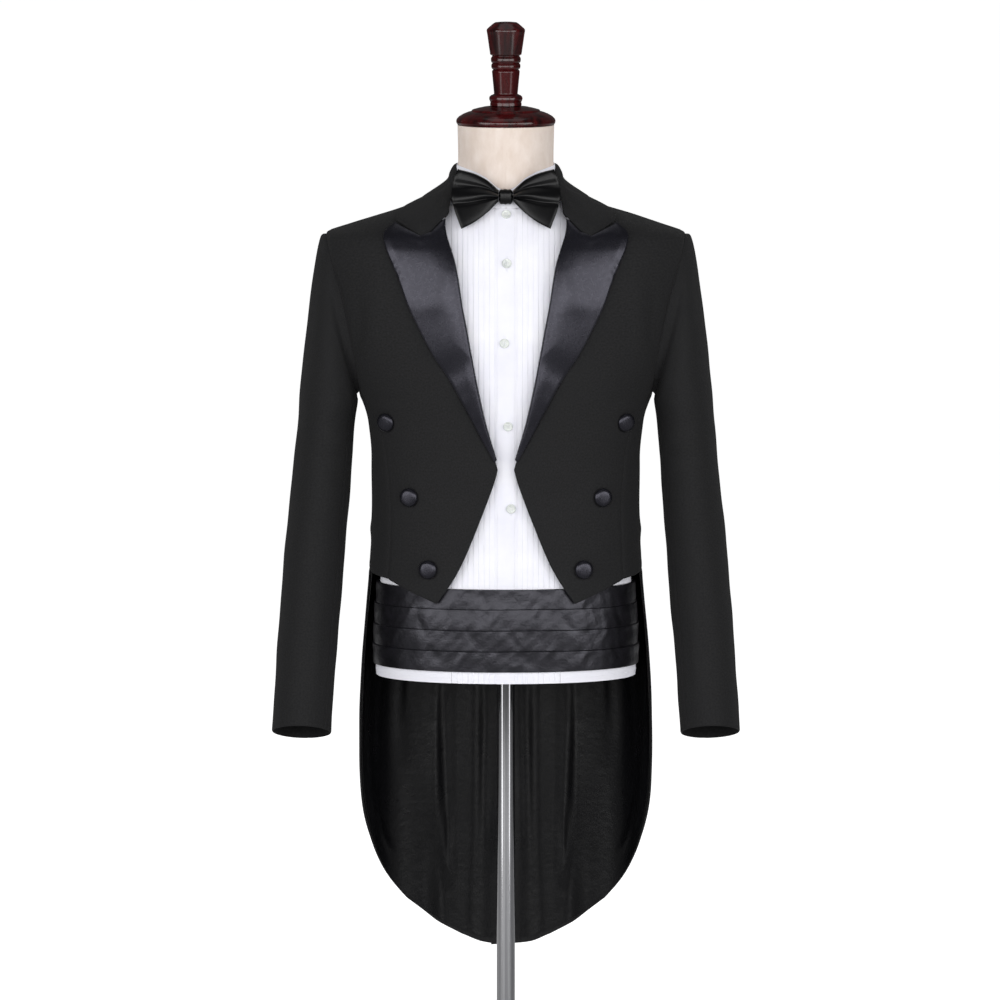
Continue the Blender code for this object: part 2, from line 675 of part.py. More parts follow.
SHIRT_NECK = smooth_curve((0.0, 30.0, 60.0, 90.0, 180.0), (1.3535, 1.3560, 1.3620, 1.3675, 1.3700))
COLLAR_TOP = smooth_curve((0.0, 10.0, 26.0, 47.0, 68.0, 90.0, 180.0), (1.3775, 1.3830, 1.3900, 1.3960, 1.4010, 1.4030, 1.4110))
SHIRT_ROW_SHARES = (0.0, 0.12, 0.24, 0.36, 0.48, 0.60, 0.72, 0.82, 0.89, 0.95, 1.0)
PLACKET_ROWS = 20
SHIRT_ROWS = len(SHIRT_ROW_SHARES) - 1
SHIRT_SHOULDER = (90.0, 1.3275)
SHIRT_ARMHOLE = ((0.1520, 1.180), (0.1470, 1.240), (0.1430, 1.300))
CENTRE_LINE_GAP = 0.0003


def shirt_wall(name, stations, material, rise=0.0, lay=SHIRT_LAY, thick=SHIRTING, both=True, edges="bottom top left right"):
    turn, height = stations[..., 0], stations[..., 1]
    outer = inset(FORM.point(turn, height, lay + thick + rise), SEAM_GAP, edges)
    inner = inset(FORM.point(turn, height, lay), SEAM_GAP, edges)
    if both:
        pair(name, outer, inner, material)
    else:
        wall(name, outer, inner, material)


def make_shirt(cotton, pearl):
    # The pleated bib: columns of constant x, two for each pleat
    edges_x = np.linspace(PLACKET_HALF, BIB_HALF, PLEATS_A_SIDE + 1)
    step = 0.0008
    columns_x = np.sort(np.concatenate([edges_x, edges_x[1:-1] - step]))
    risen = np.isin(columns_x, edges_x[1:-1] - step)
    top = np.full(columns_x.shape, 1.352)
    for _ in range(8):
        top = SHIRT_NECK(FORM.turn_at(columns_x, top))
    share = np.array(SHIRT_ROW_SHARES)[:, None]
    heights = SHIRT_HEM + (top[None] - SHIRT_HEM) * share
    stations = np.stack([FORM.turn_at(columns_x[None], heights), heights], axis=-1)
    rise = PLEAT_RISE * risen[None, :] * np.ones_like(heights)
    shirt_wall("shirt_bib", stations, cotton, rise)

    # The plain side of each front, from the bib to the side seam and the armhole
    left = stations[:, -1] + np.array([0.2, 0.0])
    neck_point = (90.0, float(SHIRT_NECK(90.0)))
    left = joined(left, spread([left[-1], (86.0, float(SHIRT_NECK(86.0))), neck_point], 2))
    arm = [(float(FORM.turn_at(x, z)), z) for x, z in SHIRT_ARMHOLE]
    right = joined(
        spread([(90.0, SHIRT_HEM), (90.0, 0.96), (90.0, 1.125)], 5),
        spread([(90.0, 1.125), *arm, SHIRT_SHOULDER], SHIRT_ROWS + 2 - 5),
    )
    stations = patch(spread([left[0], right[0]], 4), spread([neck_point, SHIRT_SHOULDER], 4), left, right)
    shirt_wall("shirt_side", stations, cotton)

    # The back, in one piece from armhole to armhole
    arm = [(float(FORM.turn_at(x, z, True)), z) for x, z in SHIRT_ARMHOLE]
    seam = joined(
        spread([(90.0, SHIRT_HEM), (90.0, 0.96), (90.0, 1.125)], 5),
        spread([(90.0, 1.125), *arm, SHIRT_SHOULDER], 6),
    )
    across = np.array([360.0, 0.0]) + seam * np.array([-1.0, 1.0])
    top = joined(
        spread([SHIRT_SHOULDER, neck_point], 4),
        spread([neck_point, (135.0, float(SHIRT_NECK(135.0))), (180.0, float(SHIRT_NECK(180.0)))], 4),
    )
    top = joined(top, (np.array([360.0, 0.0]) + top * np.array([-1.0, 1.0]))[::-1])
    bottom = spread([seam[0], across[0]], len(top) - 1)
    shirt_wall("shirt_back", patch(bottom, top, seam, across), cotton, both=False)

    # The front band that carries the buttons
    share = np.linspace(0, 1, PLACKET_ROWS + 1)[:, None]
    across_x = np.linspace(-PLACKET_HALF, PLACKET_HALF, 4)
    heights = SHIRT_HEM + (float(SHIRT_NECK(5.0)) - SHIRT_HEM) * share
    stations = np.stack([np.sign(across_x) * FORM.turn_at(across_x[None], heights + 0 * across_x), heights + 0 * across_x[None]], axis=-1)
    shirt_wall("shirt_placket", stations, cotton, rise=PLEAT_RISE + 0.0002, both=False)

    # The stand collar, open at the centre front
    turns = np.linspace(0.45, 359.55, 31)
    from_front = np.abs((turns + 180) % 360 - 180)
    share = np.linspace(0, 1, 4)[:, None]
    low, high = SHIRT_NECK(from_front) + 0.0006, COLLAR_TOP(from_front)
    heights = low + (high - low) * share
    stations = np.stack([turns[None] + 0 * heights, heights], axis=-1)
    shirt_wall("shirt_collar", stations, cotton, lay=0.0006, both=False, edges="bottom")

    # The buttons down the front
    for number, (x, height) in enumerate(SHIRT_BUTTONS, 1):
        seat = SHIRT_LAY + SHIRTING + PLEAT_RISE + 0.0002 + 0.0006
        turn = math.copysign(float(FORM.turn_at(x, height)), x)
        button = turned(f"shirt_button_{number}", SHIRT_BUTTON_PROFILE, 12, pearl)
        seat_on(button, FORM, turn, height, seat)


SHIRT_BUTTONS = ((0.0005, 1.3470), (0.0010, 1.2915), (-0.0018, 1.1990), (0.0025, 1.0995), (0.0060, 1.0000))
SHIRT_BUTTON_PROFILE = ((0.0, 0.0014), (0.0036, 0.0014), (0.0044, 0.0023), (0.0057, 0.0018), (0.0057, 0.0006), (0.0048, 0.0), (0.0, 0.0))


def seat_on(thing, body, turn, height, out):
    """Seats a piece on a body, facing straight out of it."""
    place = body.point(turn, height, out)
    face_along(thing, place, body.point(turn, height, out + 0.01) - place)


def make_cummerbund(satin):
    lay = SHIRT_LAY + SHIRTING + 0.0018
    turns = np.linspace(-101.0, 101.0, CUMMERBUND_COLUMNS + 1)
    pleat = (CUMMERBUND_HIGH - CUMMERBUND_LOW) / CUMMERBUND_PLEATS
    heights, rises = [], []
    for number in range(CUMMERBUND_PLEATS):
        low = CUMMERBUND_LOW + number * pleat
        heights += [low, low + pleat - 0.0010]
        rises += [0.0002, 0.0016]
    heights.append(CUMMERBUND_HIGH)
    rises.append(0.0004)
    grid = np.array(heights)[:, None] + 0 * turns
    stations = np.stack([turns + 0 * grid, grid], axis=-1)
    rise = np.array(rises)[:, None] + 0 * turns
    shirt_wall("cummerbund_front", stations, satin, rise, lay, 0.0014, both=False)
    turns = np.linspace(101.0, 259.0, 15)
    grid = np.linspace(0.832, 0.876, 3)[:, None] + 0 * turns
    stations = np.stack([turns + 0 * grid, grid], axis=-1)
    shirt_wall("cummerbund_band", stations, satin, 0.0, lay, 0.0016, both=False)


# The bow tie, as (x, height) edges of one wing

BOW_DROP = 0.0085
WING_BOTTOM = ((0.0086, 1.3585), (0.0215, 1.3465), (0.0380, 1.3360), (0.0530, 1.3300))
WING_TOP = ((0.0086, 1.3705), (0.0250, 1.3845), (0.0420, 1.3905), (0.0595, 1.3935))
WING_OUTER = (WING_BOTTOM[-1], (0.0632, 1.3500), (0.0665, 1.3640), (0.0635, 1.3840), WING_TOP[-1])
WING_INNER = (WING_BOTTOM[0], WING_TOP[0])
KNOT_SIZE = (0.0166, 0.0130, 0.0185)
KNOT_CENTRE = (0.0, -0.0702, 1.3722)


def bow_back(x, height):
    """How far forward the back of the bow lies: upright above the collar's foot, and over the chest below it."""
    over_chest = 0.46 * np.maximum(0.0, 1.3800 - height)
    return 0.0640 + over_chest - 0.06 * np.maximum(0.0, x - 0.040)


def make_bow_tie(satin):
    rows, columns = 10, 7
    stations = patch(spread(WING_BOTTOM, columns), spread(WING_TOP, columns), spread(WING_INNER, rows), spread(WING_OUTER, rows))
    x, height = stations[..., 0], stations[..., 1] + BOW_DROP
    u = np.linspace(0, 1, columns + 1)[None, :]
    v = np.linspace(0, 1, rows + 1)[:, None]
    body = np.sin(math.pi * np.clip(v, 0.04, 0.96)) ** 0.5 * (0.0070 - 0.0030 * u)
    folds = 0.0016 * np.cos(5 * math.pi * (v - 0.5)) * (1 - 0.45 * u)
    back = bow_back(x, height)
    thick = np.maximum(0.0022, 0.0022 + body + folds * np.sin(math.pi * v))
    front_grid = np.stack([x, -(back + thick), height], axis=-1)
    back_grid = np.stack([x, -back + 0 * x, height], axis=-1)
    pair("bow_wing", front_grid, back_grid, satin)
    knot = bpy.data.meshes.new("bow_knot")
    build = bmesh.new()
    bmesh.ops.create_cube(build, size=1.0)
    bmesh.ops.scale(build, vec=KNOT_SIZE, verts=build.verts)
    build.to_mesh(knot)
    build.free()
    made = add_object("bow_knot", knot, satin)
    made.location = KNOT_CENTRE
    bevel = made.modifiers.new("Round", "BEVEL")
    bevel.width = 0.0042
    bevel.segments = 2


# Covered buttons of the coat, as (x, height) from the front

COAT_BUTTONS = ((0.141, 1.1010), (0.114, 1.0120), (0.0918, 0.9265))
COVERED_BUTTON = ((0.0, 0.0070), (0.0060, 0.0062), (0.0098, 0.0040), (0.0110, 0.0018), (0.0095, 0.0), (0.0, 0.0))


def make_coat_buttons(satin):
    for side, sign in (("left", 1), ("right", -1)):
        for number, (x, height) in enumerate(COAT_BUTTONS, 1):
            button = turned(f"coat_button_{side}_{number}", COVERED_BUTTON, 12, satin)
            seat_on(button, COAT, sign * float(COAT.turn_at(x, height)), height, 0.0006)


# The dress form and its stand

CAP_PROFILE = (
    (0.0, 0.0225),
    (0.020, 0.0220),
    (0.040, 0.0180),
    (0.0415, 0.0160),
    (0.0540, 0.0110),
    (0.0594, 0.0060),
    (0.0594, 0.0030),
    (0.0575, 0.0),
    (0.0, 0.0),
)
FINIAL_PROFILE = (
    (0.0, 0.1000),
    (0.0134, 0.0995),
    (0.0229, 0.0895),
    (0.0222, 0.0860),
    (0.0186, 0.0605),
    (0.0160, 0.0592),
    (0.0178, 0.0570),
    (0.0176, 0.0520),
    (0.0158, 0.0507),
    (0.0174, 0.0490),
    (0.0170, 0.0445),
    (0.0150, 0.0430),
    (0.0166, 0.0412),
    (0.0140, 0.0140),
    (0.0185, 0.0118),
    (0.0200, 0.0080),
    (0.0185, 0.0040),
    (0.0188, 0.0),
    (0.0, 0.0),
)
FLANGE_RADIUS = 0.034
FLANGE_THICKNESS = 0.0030
BASE_THICKNESS = 0.0060
HUB_RADIUS = 0.022
HUB_HEIGHT = 0.034
BORE_DEPTH = 0.0060


def make_form(linen, lacquer, chrome):
    columns, heights = 24, [FORM_BOTTOM] + [s.height for s in FORM_SECTIONS[1:-1]] + [NECK_TOP]
    turns = np.arange(columns) * 360 / columns
    build = bmesh.new()
    rings = []
    for height in heights:
        ease_in = FORM_EASE * float(ease((NECK_BARE - height) / 0.020))
        rings.append([build.verts.new(p) for p in FORM.point(turns, height, -ease_in)])
    for low, high in zip(rings, rings[1:]):
        for j in range(columns):
            k = (j + 1) % columns
            build.faces.new([low[j], low[k], high[k], high[j]])
    build.faces.new(rings[0][::-1])
    build.faces.new(rings[-1])
    mesh = bpy.data.meshes.new("form_torso")
    build.to_mesh(mesh)
    build.free()
    add_object("form_torso", mesh, linen)
    cap_seat = NECK_TOP + LAY_GAP
    cap = turned("neck_cap", CAP_PROFILE, 20, lacquer)
    cap.location.z = cap_seat
    finial = turned("finial", FINIAL_PROFILE, 12, lacquer)
    finial.location.z = cap_seat + CAP_PROFILE[0][1] + LAY_GAP
    top = FORM_BOTTOM - LAY_GAP
    pole_profile = (
        (0.0, top),
        (FLANGE_RADIUS, top),
        (FLANGE_RADIUS, top - FLANGE_THICKNESS),
        (POLE_RADIUS, top - FLANGE_THICKNESS),
        (POLE_RADIUS, BORE_DEPTH + LAY_GAP),
        (0.0, BORE_DEPTH + LAY_GAP),
    )
    turned("stand_pole", pole_profile, 16, chrome)
    base_profile = (
        (0.0, BORE_DEPTH),
        (POLE_RADIUS + LAY_GAP, BORE_DEPTH),
        (POLE_RADIUS + LAY_GAP, HUB_HEIGHT),
        (HUB_RADIUS - 0.003, HUB_HEIGHT),
        (HUB_RADIUS, HUB_HEIGHT - 0.003),
        (HUB_RADIUS, BASE_THICKNESS + 0.006),
        (HUB_RADIUS + 0.008, BASE_THICKNESS + 0.002),
        (BASE_RADIUS - 0.004, BASE_THICKNESS),
        (BASE_RADIUS, BASE_THICKNESS - 0.003),
        (BASE_RADIUS, 0.0),
        (0.0, 0.0),
    )
    turned("stand_base", base_profile, 24, chrome)


for old in list(bpy.data.objects):
    bpy.data.objects.remove(old)
PARTS = bpy.data.collections.new("tailcoat_suit")
bpy.context.scene.collection.children.link(PARTS)

WOOL_CLOTH = cloth_material("black_wool", (0.018, 0.018, 0.019), 0.85, sheen=0.3)
BLACK_SATIN = cloth_material("black_satin", (0.030, 0.029, 0.036), 0.35)
BLACK_LINING = cloth_material("black_lining", (0.012, 0.012, 0.013), 0.45)
WHITE_COTTON = cloth_material("white_cotton", (0.90, 0.90, 0.94), 0.75)
PEARL = cloth_material("pearl_button", (0.80, 0.82, 0.80), 0.30)
LINEN = cloth_material("form_linen", (0.76, 0.66, 0.59), 0.85)
RED_LACQUER = cloth_material("red_lacquer", (0.045, 0.006, 0.006), 0.12)
CHROME = cloth_material("chromed_steel", (0.75, 0.75, 0.75), 0.15, metallic=1.0)

make_coat_body(WOOL_CLOTH, BLACK_SATIN, BLACK_LINING)
make_lapels(BLACK_SATIN)
make_collar(WOOL_CLOTH)
make_sleeves(WOOL_CLOTH)
make_coat_buttons(BLACK_SATIN)
make_shirt(WHITE_COTTON, PEARL)
make_cummerbund(BLACK_SATIN)
make_bow_tie(BLACK_SATIN)
make_form(LINEN, RED_LACQUER, CHROME)
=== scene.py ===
"""The looks of a black tailcoat suit on a limbless dress form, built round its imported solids.

Metres, +Z up, the front at -Y, the wearer's left at +X. Cloth lies on one of two hollow bodies, the coat and
the form. A place on a body is a turn in degrees from the centre front, and a height.
"""

import logging
import math
from collections.abc import Callable, Sequence
from dataclasses import astuple, dataclass, field
from enum import Enum
from functools import cache, partial

import bmesh
import bpy
import numpy as np
from mathutils import Matrix, Vector


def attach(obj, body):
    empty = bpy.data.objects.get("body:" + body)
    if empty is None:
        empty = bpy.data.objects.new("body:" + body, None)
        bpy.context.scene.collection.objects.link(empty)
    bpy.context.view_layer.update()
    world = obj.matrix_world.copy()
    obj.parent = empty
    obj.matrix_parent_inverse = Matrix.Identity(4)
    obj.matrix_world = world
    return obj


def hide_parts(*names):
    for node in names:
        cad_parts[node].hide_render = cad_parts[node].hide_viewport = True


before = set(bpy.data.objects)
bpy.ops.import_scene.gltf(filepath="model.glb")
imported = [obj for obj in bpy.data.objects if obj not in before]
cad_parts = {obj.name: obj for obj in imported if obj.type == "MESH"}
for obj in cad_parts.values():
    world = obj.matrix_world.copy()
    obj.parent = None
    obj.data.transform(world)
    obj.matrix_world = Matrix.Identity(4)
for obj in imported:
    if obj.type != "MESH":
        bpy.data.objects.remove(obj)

LOG = logging.getLogger("tailcoat_suit")
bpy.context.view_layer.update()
Points = np.ndarray
Tree, Node, Socket, Outputs = bpy.types.NodeTree, bpy.types.Node, bpy.types.NodeSocket, bpy.types.NodeOutputs
Object = bpy.types.Object
Place = tuple[float, float]

# Walls, gaps and driving heights, as the solids have them
WOOL, SATIN, SHIRTING, LINING = 0.002, 0.002, 0.0012, 0.001
SLEEVE_GAP, LAY_GAP = 0.0003, 0.0003
HEM, WAIST_SIDE, WAIST_BACK = 0.4405, 0.919, 0.935
ARMPIT, SHOULDER_TIP, NECK_SIDE, NECK_BACK = 1.13, 1.321, 1.376, 1.379
FRONT_SEAM, TAIL_FRONT, BACK_SEAM = 66.0, 92.0, 153.0
SHIRT_HEM, SHIRT_LAY, PLACKET_HALF, BIB_HALF = 0.791, 0.0008, 0.0135, 0.064
PLEATS_A_SIDE, PLEAT_RISE = 8, 0.0007
CUMMERBUND_LOW, CUMMERBUND_HIGH, CUMMERBUND_PLEATS = 0.805, 0.903, 4
FORM_BOTTOM, FORM_EASE, NECK_BARE, NECK_TOP = 0.803, 0.0064, 1.385, 1.451


@dataclass(frozen=True)
class Section:
    """A level section of a hollow body, in millimetres: height, half width, and depth at front and back."""

    height: float
    half_width: float
    front: float
    back: float


@dataclass(frozen=True)
class TailFold:
    """A soft fold of the tails: its turn, its half width in degrees, and its depth at the hem."""

    turn: float
    half_width: float
    depth: float


COAT_SECTIONS = tuple(
    Section(*row) for row in (
        (430.0, 171.0, 105.0, 134.0), (520.0, 174.0, 106.0, 134.0), (640.0, 177.0, 107.0, 132.0),
        (712.0, 177.5, 108.0, 130.0), (780.0, 175.2, 109.0, 128.0), (850.0, 170.3, 109.0, 123.0),
        (913.0, 164.0, 108.0, 113.0), (950.0, 162.0, 107.0, 105.0), (1000.0, 160.8, 107.0, 101.0),
        (1050.0, 160.8, 110.0, 106.0), (1096.0, 165.6, 114.0, 113.0), (1120.0, 172.8, 117.0, 116.0),
        (1130.0, 176.5, 118.0, 117.0), (1175.0, 192.0, 121.0, 121.0), (1235.0, 208.0, 120.0, 122.0),
        (1280.0, 217.0, 113.0, 117.0), (1305.0, 220.0, 106.0, 112.0), (1316.0, 218.5, 101.0, 107.0),
        (1322.0, 214.0, 98.0, 104.0), (1331.0, 190.0, 93.0, 99.0), (1341.0, 160.0, 87.0, 93.0),
        (1350.0, 130.0, 81.0, 88.0), (1360.0, 101.0, 74.0, 82.0), (1369.0, 80.0, 68.0, 76.0),
        (1379.0, 69.0, 64.0, 71.0), (1389.0, 64.0, 62.5, 67.0), (1404.0, 61.2, 62.0, 63.5),
        (1415.0, 61.0, 62.0, 63.0),
    )
)
FORM_SECTIONS = tuple(
    Section(*row) for row in (
        (780.0, 154.5, 109.0, 112.0), (850.0, 153.0, 106.0, 108.0), (900.0, 149.0, 99.0, 100.0),
        (950.0, 143.0, 95.0, 92.0), (1000.0, 143.0, 96.0, 92.0), (1050.0, 149.0, 99.0, 98.0),
        (1100.0, 157.0, 104.0, 105.0), (1150.0, 165.0, 110.0, 110.0), (1200.0, 170.0, 112.0, 112.0),
        (1250.0, 172.0, 108.0, 110.0), (1290.0, 171.0, 98.0, 102.0), (1310.0, 164.0, 90.0, 95.0),
        (1322.0, 150.0, 84.0, 90.0), (1332.0, 130.0, 79.0, 85.0), (1342.0, 106.0, 74.0, 79.0),
        (1352.0, 84.0, 68.0, 72.0), (1362.0, 69.0, 63.0, 65.0), (1372.0, 60.5, 59.5, 60.5),
        (1385.0, 57.5, 57.5, 57.5), (1410.0, 57.0, 57.0, 57.0), (1460.0, 58.0, 58.0, 58.0),
    )
)
TAIL_FOLDS = tuple(
    TailFold(*row) for row in (
        (107.0, 7.0, -0.0026), (122.0, 9.0, 0.003), (138.0, 8.0, -0.0036), (149.0, 6.0, 0.0026),
        (160.0, 6.0, -0.0032), (171.0, 6.0, 0.002),
    )
)
FOLD_TOP, FOLD_FULL = 0.9, 0.6


def smooth_curve(stations: Sequence[float], values: Sequence[float]) -> Callable[[Points], Points]:
    """Makes a function that runs smoothly through values and never overshoots them (a monotone cubic).

    Args:
        stations: Where the values stand, rising.
        values: The values there.

    Returns:
        The function, which takes a place or an array of places.
    """
    x, y = np.asarray(stations, float), np.asarray(values, float)
    width = np.diff(x)
    slope = np.diff(y) / width
    product = slope[:-1] * slope[1:]
    total = np.where(product > 0, slope[:-1] + slope[1:], 1.0)
    tangent = np.concatenate([slope[:1], np.where(product > 0, 2 * product / total, 0.0), slope[-1:]])

    def value_at(where: Points) -> Points:
        """Reads the curve at a place or an array of places."""
        where = np.clip(np.asarray(where, float), x[0], x[-1])
        i = np.clip(np.searchsorted(x, where) - 1, 0, len(x) - 2)
        t = (where - x[i]) / width[i]
        start = (1 + 2 * t) * (1 - t) ** 2 * y[i] + t * (1 - t) ** 2 * width[i] * tangent[i]
        end = t * t * (3 - 2 * t) * y[i + 1] + t * t * (t - 1) * width[i] * tangent[i + 1]
        return start + end

    return value_at


def ease(t: Points) -> Points:
    """Runs from 0 to 1 as t does, with a soft start and end."""
    t = np.clip(t, 0, 1)
    return t * t * (3 - 2 * t)


def unit(vectors: Points) -> Points:
    """Gives vectors the length 1."""
    return vectors / np.linalg.norm(vectors, axis=-1, keepdims=True)


class Body:
    """A hollow of level sections, each a rounded oval that is deeper at the front or the back."""

    def __init__(
        self, sections: Sequence[Section], squareness: float, radius: float, folds: Sequence[TailFold] = ()
    ) -> None:
        """Sets the body up.

        Args:
            sections: Its level sections, lowest first.
            squareness: The oval's power: 2 is an ellipse, and more is squarer.
            radius: Its rough radius, which turns degrees into lengths of cloth.
            folds: The folds of its tails.
        """
        heights, *depths = (np.array(column) / 1000 for column in zip(*map(astuple, sections)))
        self.half_width, self.front, self.back = (smooth_curve(heights, column) for column in depths)
        self.squareness = squareness
        self.radius = radius
        self.folds = folds

    def fold_depth(self, turn: Points, height: Points) -> Points:
        """Works out the tails' folds.

        Args:
            turn: Turns in degrees from the centre front.
            height: Heights.

        Returns:
            How far the folds stand out of the plain body, or in where it is negative.
        """
        aside = from_front(turn)
        low = ease((FOLD_TOP - height) / (FOLD_TOP - FOLD_FULL))
        depth = 0.0
        for fold in self.folds:
            depth = depth + fold.depth * np.exp(-(((aside - fold.turn) / fold.half_width) ** 2))
        return depth * low

    def surface(self, turn: Points, height: Points) -> Points:
        """Gives the points of the body's surface.

        Args:
            turn: Turns in degrees from the centre front.
            height: Heights.

        Returns:
            The points, with their three values in the last axis.
        """
        across, along = np.sin(np.radians(turn)), np.cos(np.radians(turn))
        depth = np.where(along > 0, self.front(height), self.back(height))
        n = self.squareness
        shape = np.abs(across / self.half_width(height)) ** n + np.abs(along / depth) ** n
        radius = shape ** (-1 / n) + self.fold_depth(turn, height)
        return np.stack([radius * across, -radius * along, height + 0 * radius], axis=-1)

    def point(self, turn: Points, height: Points, out: Points = 0.0) -> Points:
        """Gives points on the body, or off it.

        Args:
            turn: Turns in degrees from the centre front.
            height: Heights.
            out: How far out of the body the points are, or inside it where it is negative.

        Returns:
            The points, with their three values in the last axis.
        """
        turn, height, out = np.broadcast_arrays(
            *(np.asarray(value, float) for value in (turn, height, out))
        )
        step_turn, step_height = 0.25, 0.0004
        across = self.surface(turn + step_turn, height) - self.surface(turn - step_turn, height)
        up = self.surface(turn, height + step_height) - self.surface(turn, height - step_height)
        return self.surface(turn, height) + unit(np.cross(across, up)) * out[..., None]

    def at(self, stations: Points, out: Points = 0.0) -> Points:
        """Gives the points at stations, whose last axis is (turn, height), or that far out of them."""
        return self.point(stations[..., 0], stations[..., 1], out)

    def grain(self, stations: Points) -> Points:
        """Lays stations out flat, as places on the cloth in metres."""
        return paired(np.radians(stations[..., 0]) * self.radius, stations[..., 1])

    def turn_at(self, x: Points, height: Points, back: bool = False) -> Points:
        """Finds the turn at which the body's section is x wide.

        Args:
            x: How far the place is from the middle.
            height: Its height.
            back: Whether it is on the back.

        Returns:
            The turn in degrees from the centre front.
        """
        half = self.half_width(height)
        depth = self.back(height) if back else self.front(height)
        share = np.clip(np.abs(x) / half, 0, 1)
        y = depth * (1 - share**self.squareness) ** (1 / self.squareness)
        turn = np.degrees(np.arctan2(np.abs(x), y))
        return 180 - turn if back else turn

    def on_front(self, places: Sequence[Place]) -> list[Place]:
        """Turns places given as (x, height), seen from the front, into (turn, height)."""
        return [(float(self.turn_at(x, height)), height) for x, height in places]

    def on_back(self, places: Sequence[Place]) -> list[Place]:
        """Turns places given as (x, height), seen from the back, into (turn, height)."""
        return [(float(self.turn_at(x, height, True)), height) for x, height in places]


COAT = Body(COAT_SECTIONS, 2.3, 0.15, TAIL_FOLDS)
FORM = Body(FORM_SECTIONS, 2.15, 0.11)


# Grids of stations and points


def spread(controls: Sequence[Sequence[float]], count: int) -> Points:
    """Spreads stations along a smooth line.

    Args:
        controls: The places that it runs through.
        count: How many steps it has.

    Returns:
        count + 1 stations, evenly between each control place and the next.
    """
    controls = np.asarray(controls, float)
    index = np.arange(len(controls))
    where = np.linspace(0, len(controls) - 1, count + 1)
    return np.stack([smooth_curve(index, column)(where) for column in controls.T], axis=-1)


def paired(turn: Points, height: Points) -> Points:
    """Pairs turns and heights, or other arrays that broadcast together, as places."""
    return np.stack(np.broadcast_arrays(turn, height), axis=-1)


def from_front(turn: Points) -> Points:
    """Gives turns as degrees away from the centre front, from 0 to 180."""
    return np.abs((turn + 180) % 360 - 180)


def joined(*runs: Points) -> Points:
    """Joins runs of stations end to end, each starting where the one before it ends."""
    return np.concatenate([runs[0]] + [run[1:] for run in runs[1:]])


def patch(bottom: Points, top: Points, left: Points, right: Points) -> Points:
    """Spreads stations over a four-sided panel, evenly between its edges (a Coons patch).

    Args:
        bottom: The stations along its bottom, and so on for the other edges.
        top: Those along its top.
        left: Those up its left edge.
        right: Those up its right edge.

    Returns:
        The grid, [row, column, value].
    """
    u = np.linspace(0, 1, len(bottom))[None, :, None]
    v = np.linspace(0, 1, len(left))[:, None, None]
    across = (1 - v) * bottom[None] + v * top[None]
    along = (1 - u) * left[:, None] + u * right[:, None]
    low = (1 - u) * (1 - v) * bottom[0] + u * (1 - v) * bottom[-1]
    return across + along - (low + (1 - u) * v * top[0] + u * v * top[-1])


def read_grid(grid: Points, rows: Points, columns: Points) -> Points:
    """Reads a grid between its stations.

    Args:
        grid: The grid, [row, column, value].
        rows: The rows to read, which may be fractions.
        columns: The columns to read.

    Returns:
        The new grid, one row for each of rows and one column for each of columns.
    """
    for axis, where in ((0, rows), (1, columns)):
        grid = np.moveaxis(grid, axis, 0)
        low = np.clip(np.floor(where).astype(int), 0, len(grid) - 2)
        share = (np.asarray(where) - low)[:, None, None]
        grid = np.moveaxis(grid[low] * (1 - share) + grid[low + 1] * share, 0, axis)
    return grid


EDGE_SHARES = (0.1, 0.25, 0.55)


def close_edges(count: int) -> Points:
    """Gives the places of count stations, with three more close inside each end, where cloth turns."""
    near = np.array(EDGE_SHARES)
    return np.concatenate([[0.0], near, np.arange(1, count - 1), count - 1 - near[::-1], [count - 1.0]])


def with_close_edges(grid: Points) -> Points:
    """Adds rows and columns close inside the edges of a grid."""
    return read_grid(grid, close_edges(grid.shape[0]), close_edges(grid.shape[1]))


def refined(grid: Points, times: int, axis: int) -> Points:
    """Puts stations between those of a grid, on a smooth curve through them (Catmull-Rom).

    Args:
        grid: The grid of points.
        times: How many cells each cell becomes.
        axis: 0 to refine along its columns, or 1 along its rows.

    Returns:
        The finer grid.
    """
    grid = np.moveaxis(grid, axis, 0)
    tangent = np.concatenate([grid[1:2] - grid[:1], (grid[2:] - grid[:-2]) / 2, grid[-1:] - grid[-2:-1]])
    where = np.linspace(0, len(grid) - 1, times * (len(grid) - 1) + 1)
    i = np.clip(np.floor(where).astype(int), 0, len(grid) - 2)
    t = (where - i).reshape((-1,) + (1,) * (grid.ndim - 1))
    made = (1 + 2 * t) * (1 - t) ** 2 * grid[i] + t * (1 - t) ** 2 * tangent[i]
    made += t * t * (3 - 2 * t) * grid[i + 1] + t * t * (t - 1) * tangent[i + 1]
    return np.moveaxis(made, 0, axis)


def edge_distances(points: Points) -> dict[str, Points]:
    """Measures how far each point of a grid is from each edge.

    Args:
        points: The grid.

    Returns:
        The distances along the rows or columns, for left, right, bottom and top.
    """
    across = np.linalg.norm(np.diff(points, axis=1), axis=-1)
    up = np.linalg.norm(np.diff(points, axis=0), axis=-1)
    left = np.concatenate([0 * across[:, :1], np.cumsum(across, axis=1)], axis=1)
    bottom = np.concatenate([0 * up[:1], np.cumsum(up, axis=0)], axis=0)
    return {"left": left, "right": left[:, -1:] - left, "bottom": bottom, "top": bottom[-1:] - bottom}


SIDES = {"left": 1.0, "right": -1.0}


def on_side(points: Points, side: str) -> Points:
    """Gives points of the wearer's left on the side that is named."""
    return points * np.array([SIDES[side], 1.0, 1.0])


@dataclass(frozen=True)
class Fold:
    """A soft ridge in cloth: its places, half its width, and its height, negative for a trough."""

    path: tuple[Place, ...]
    width: float
    depth: float


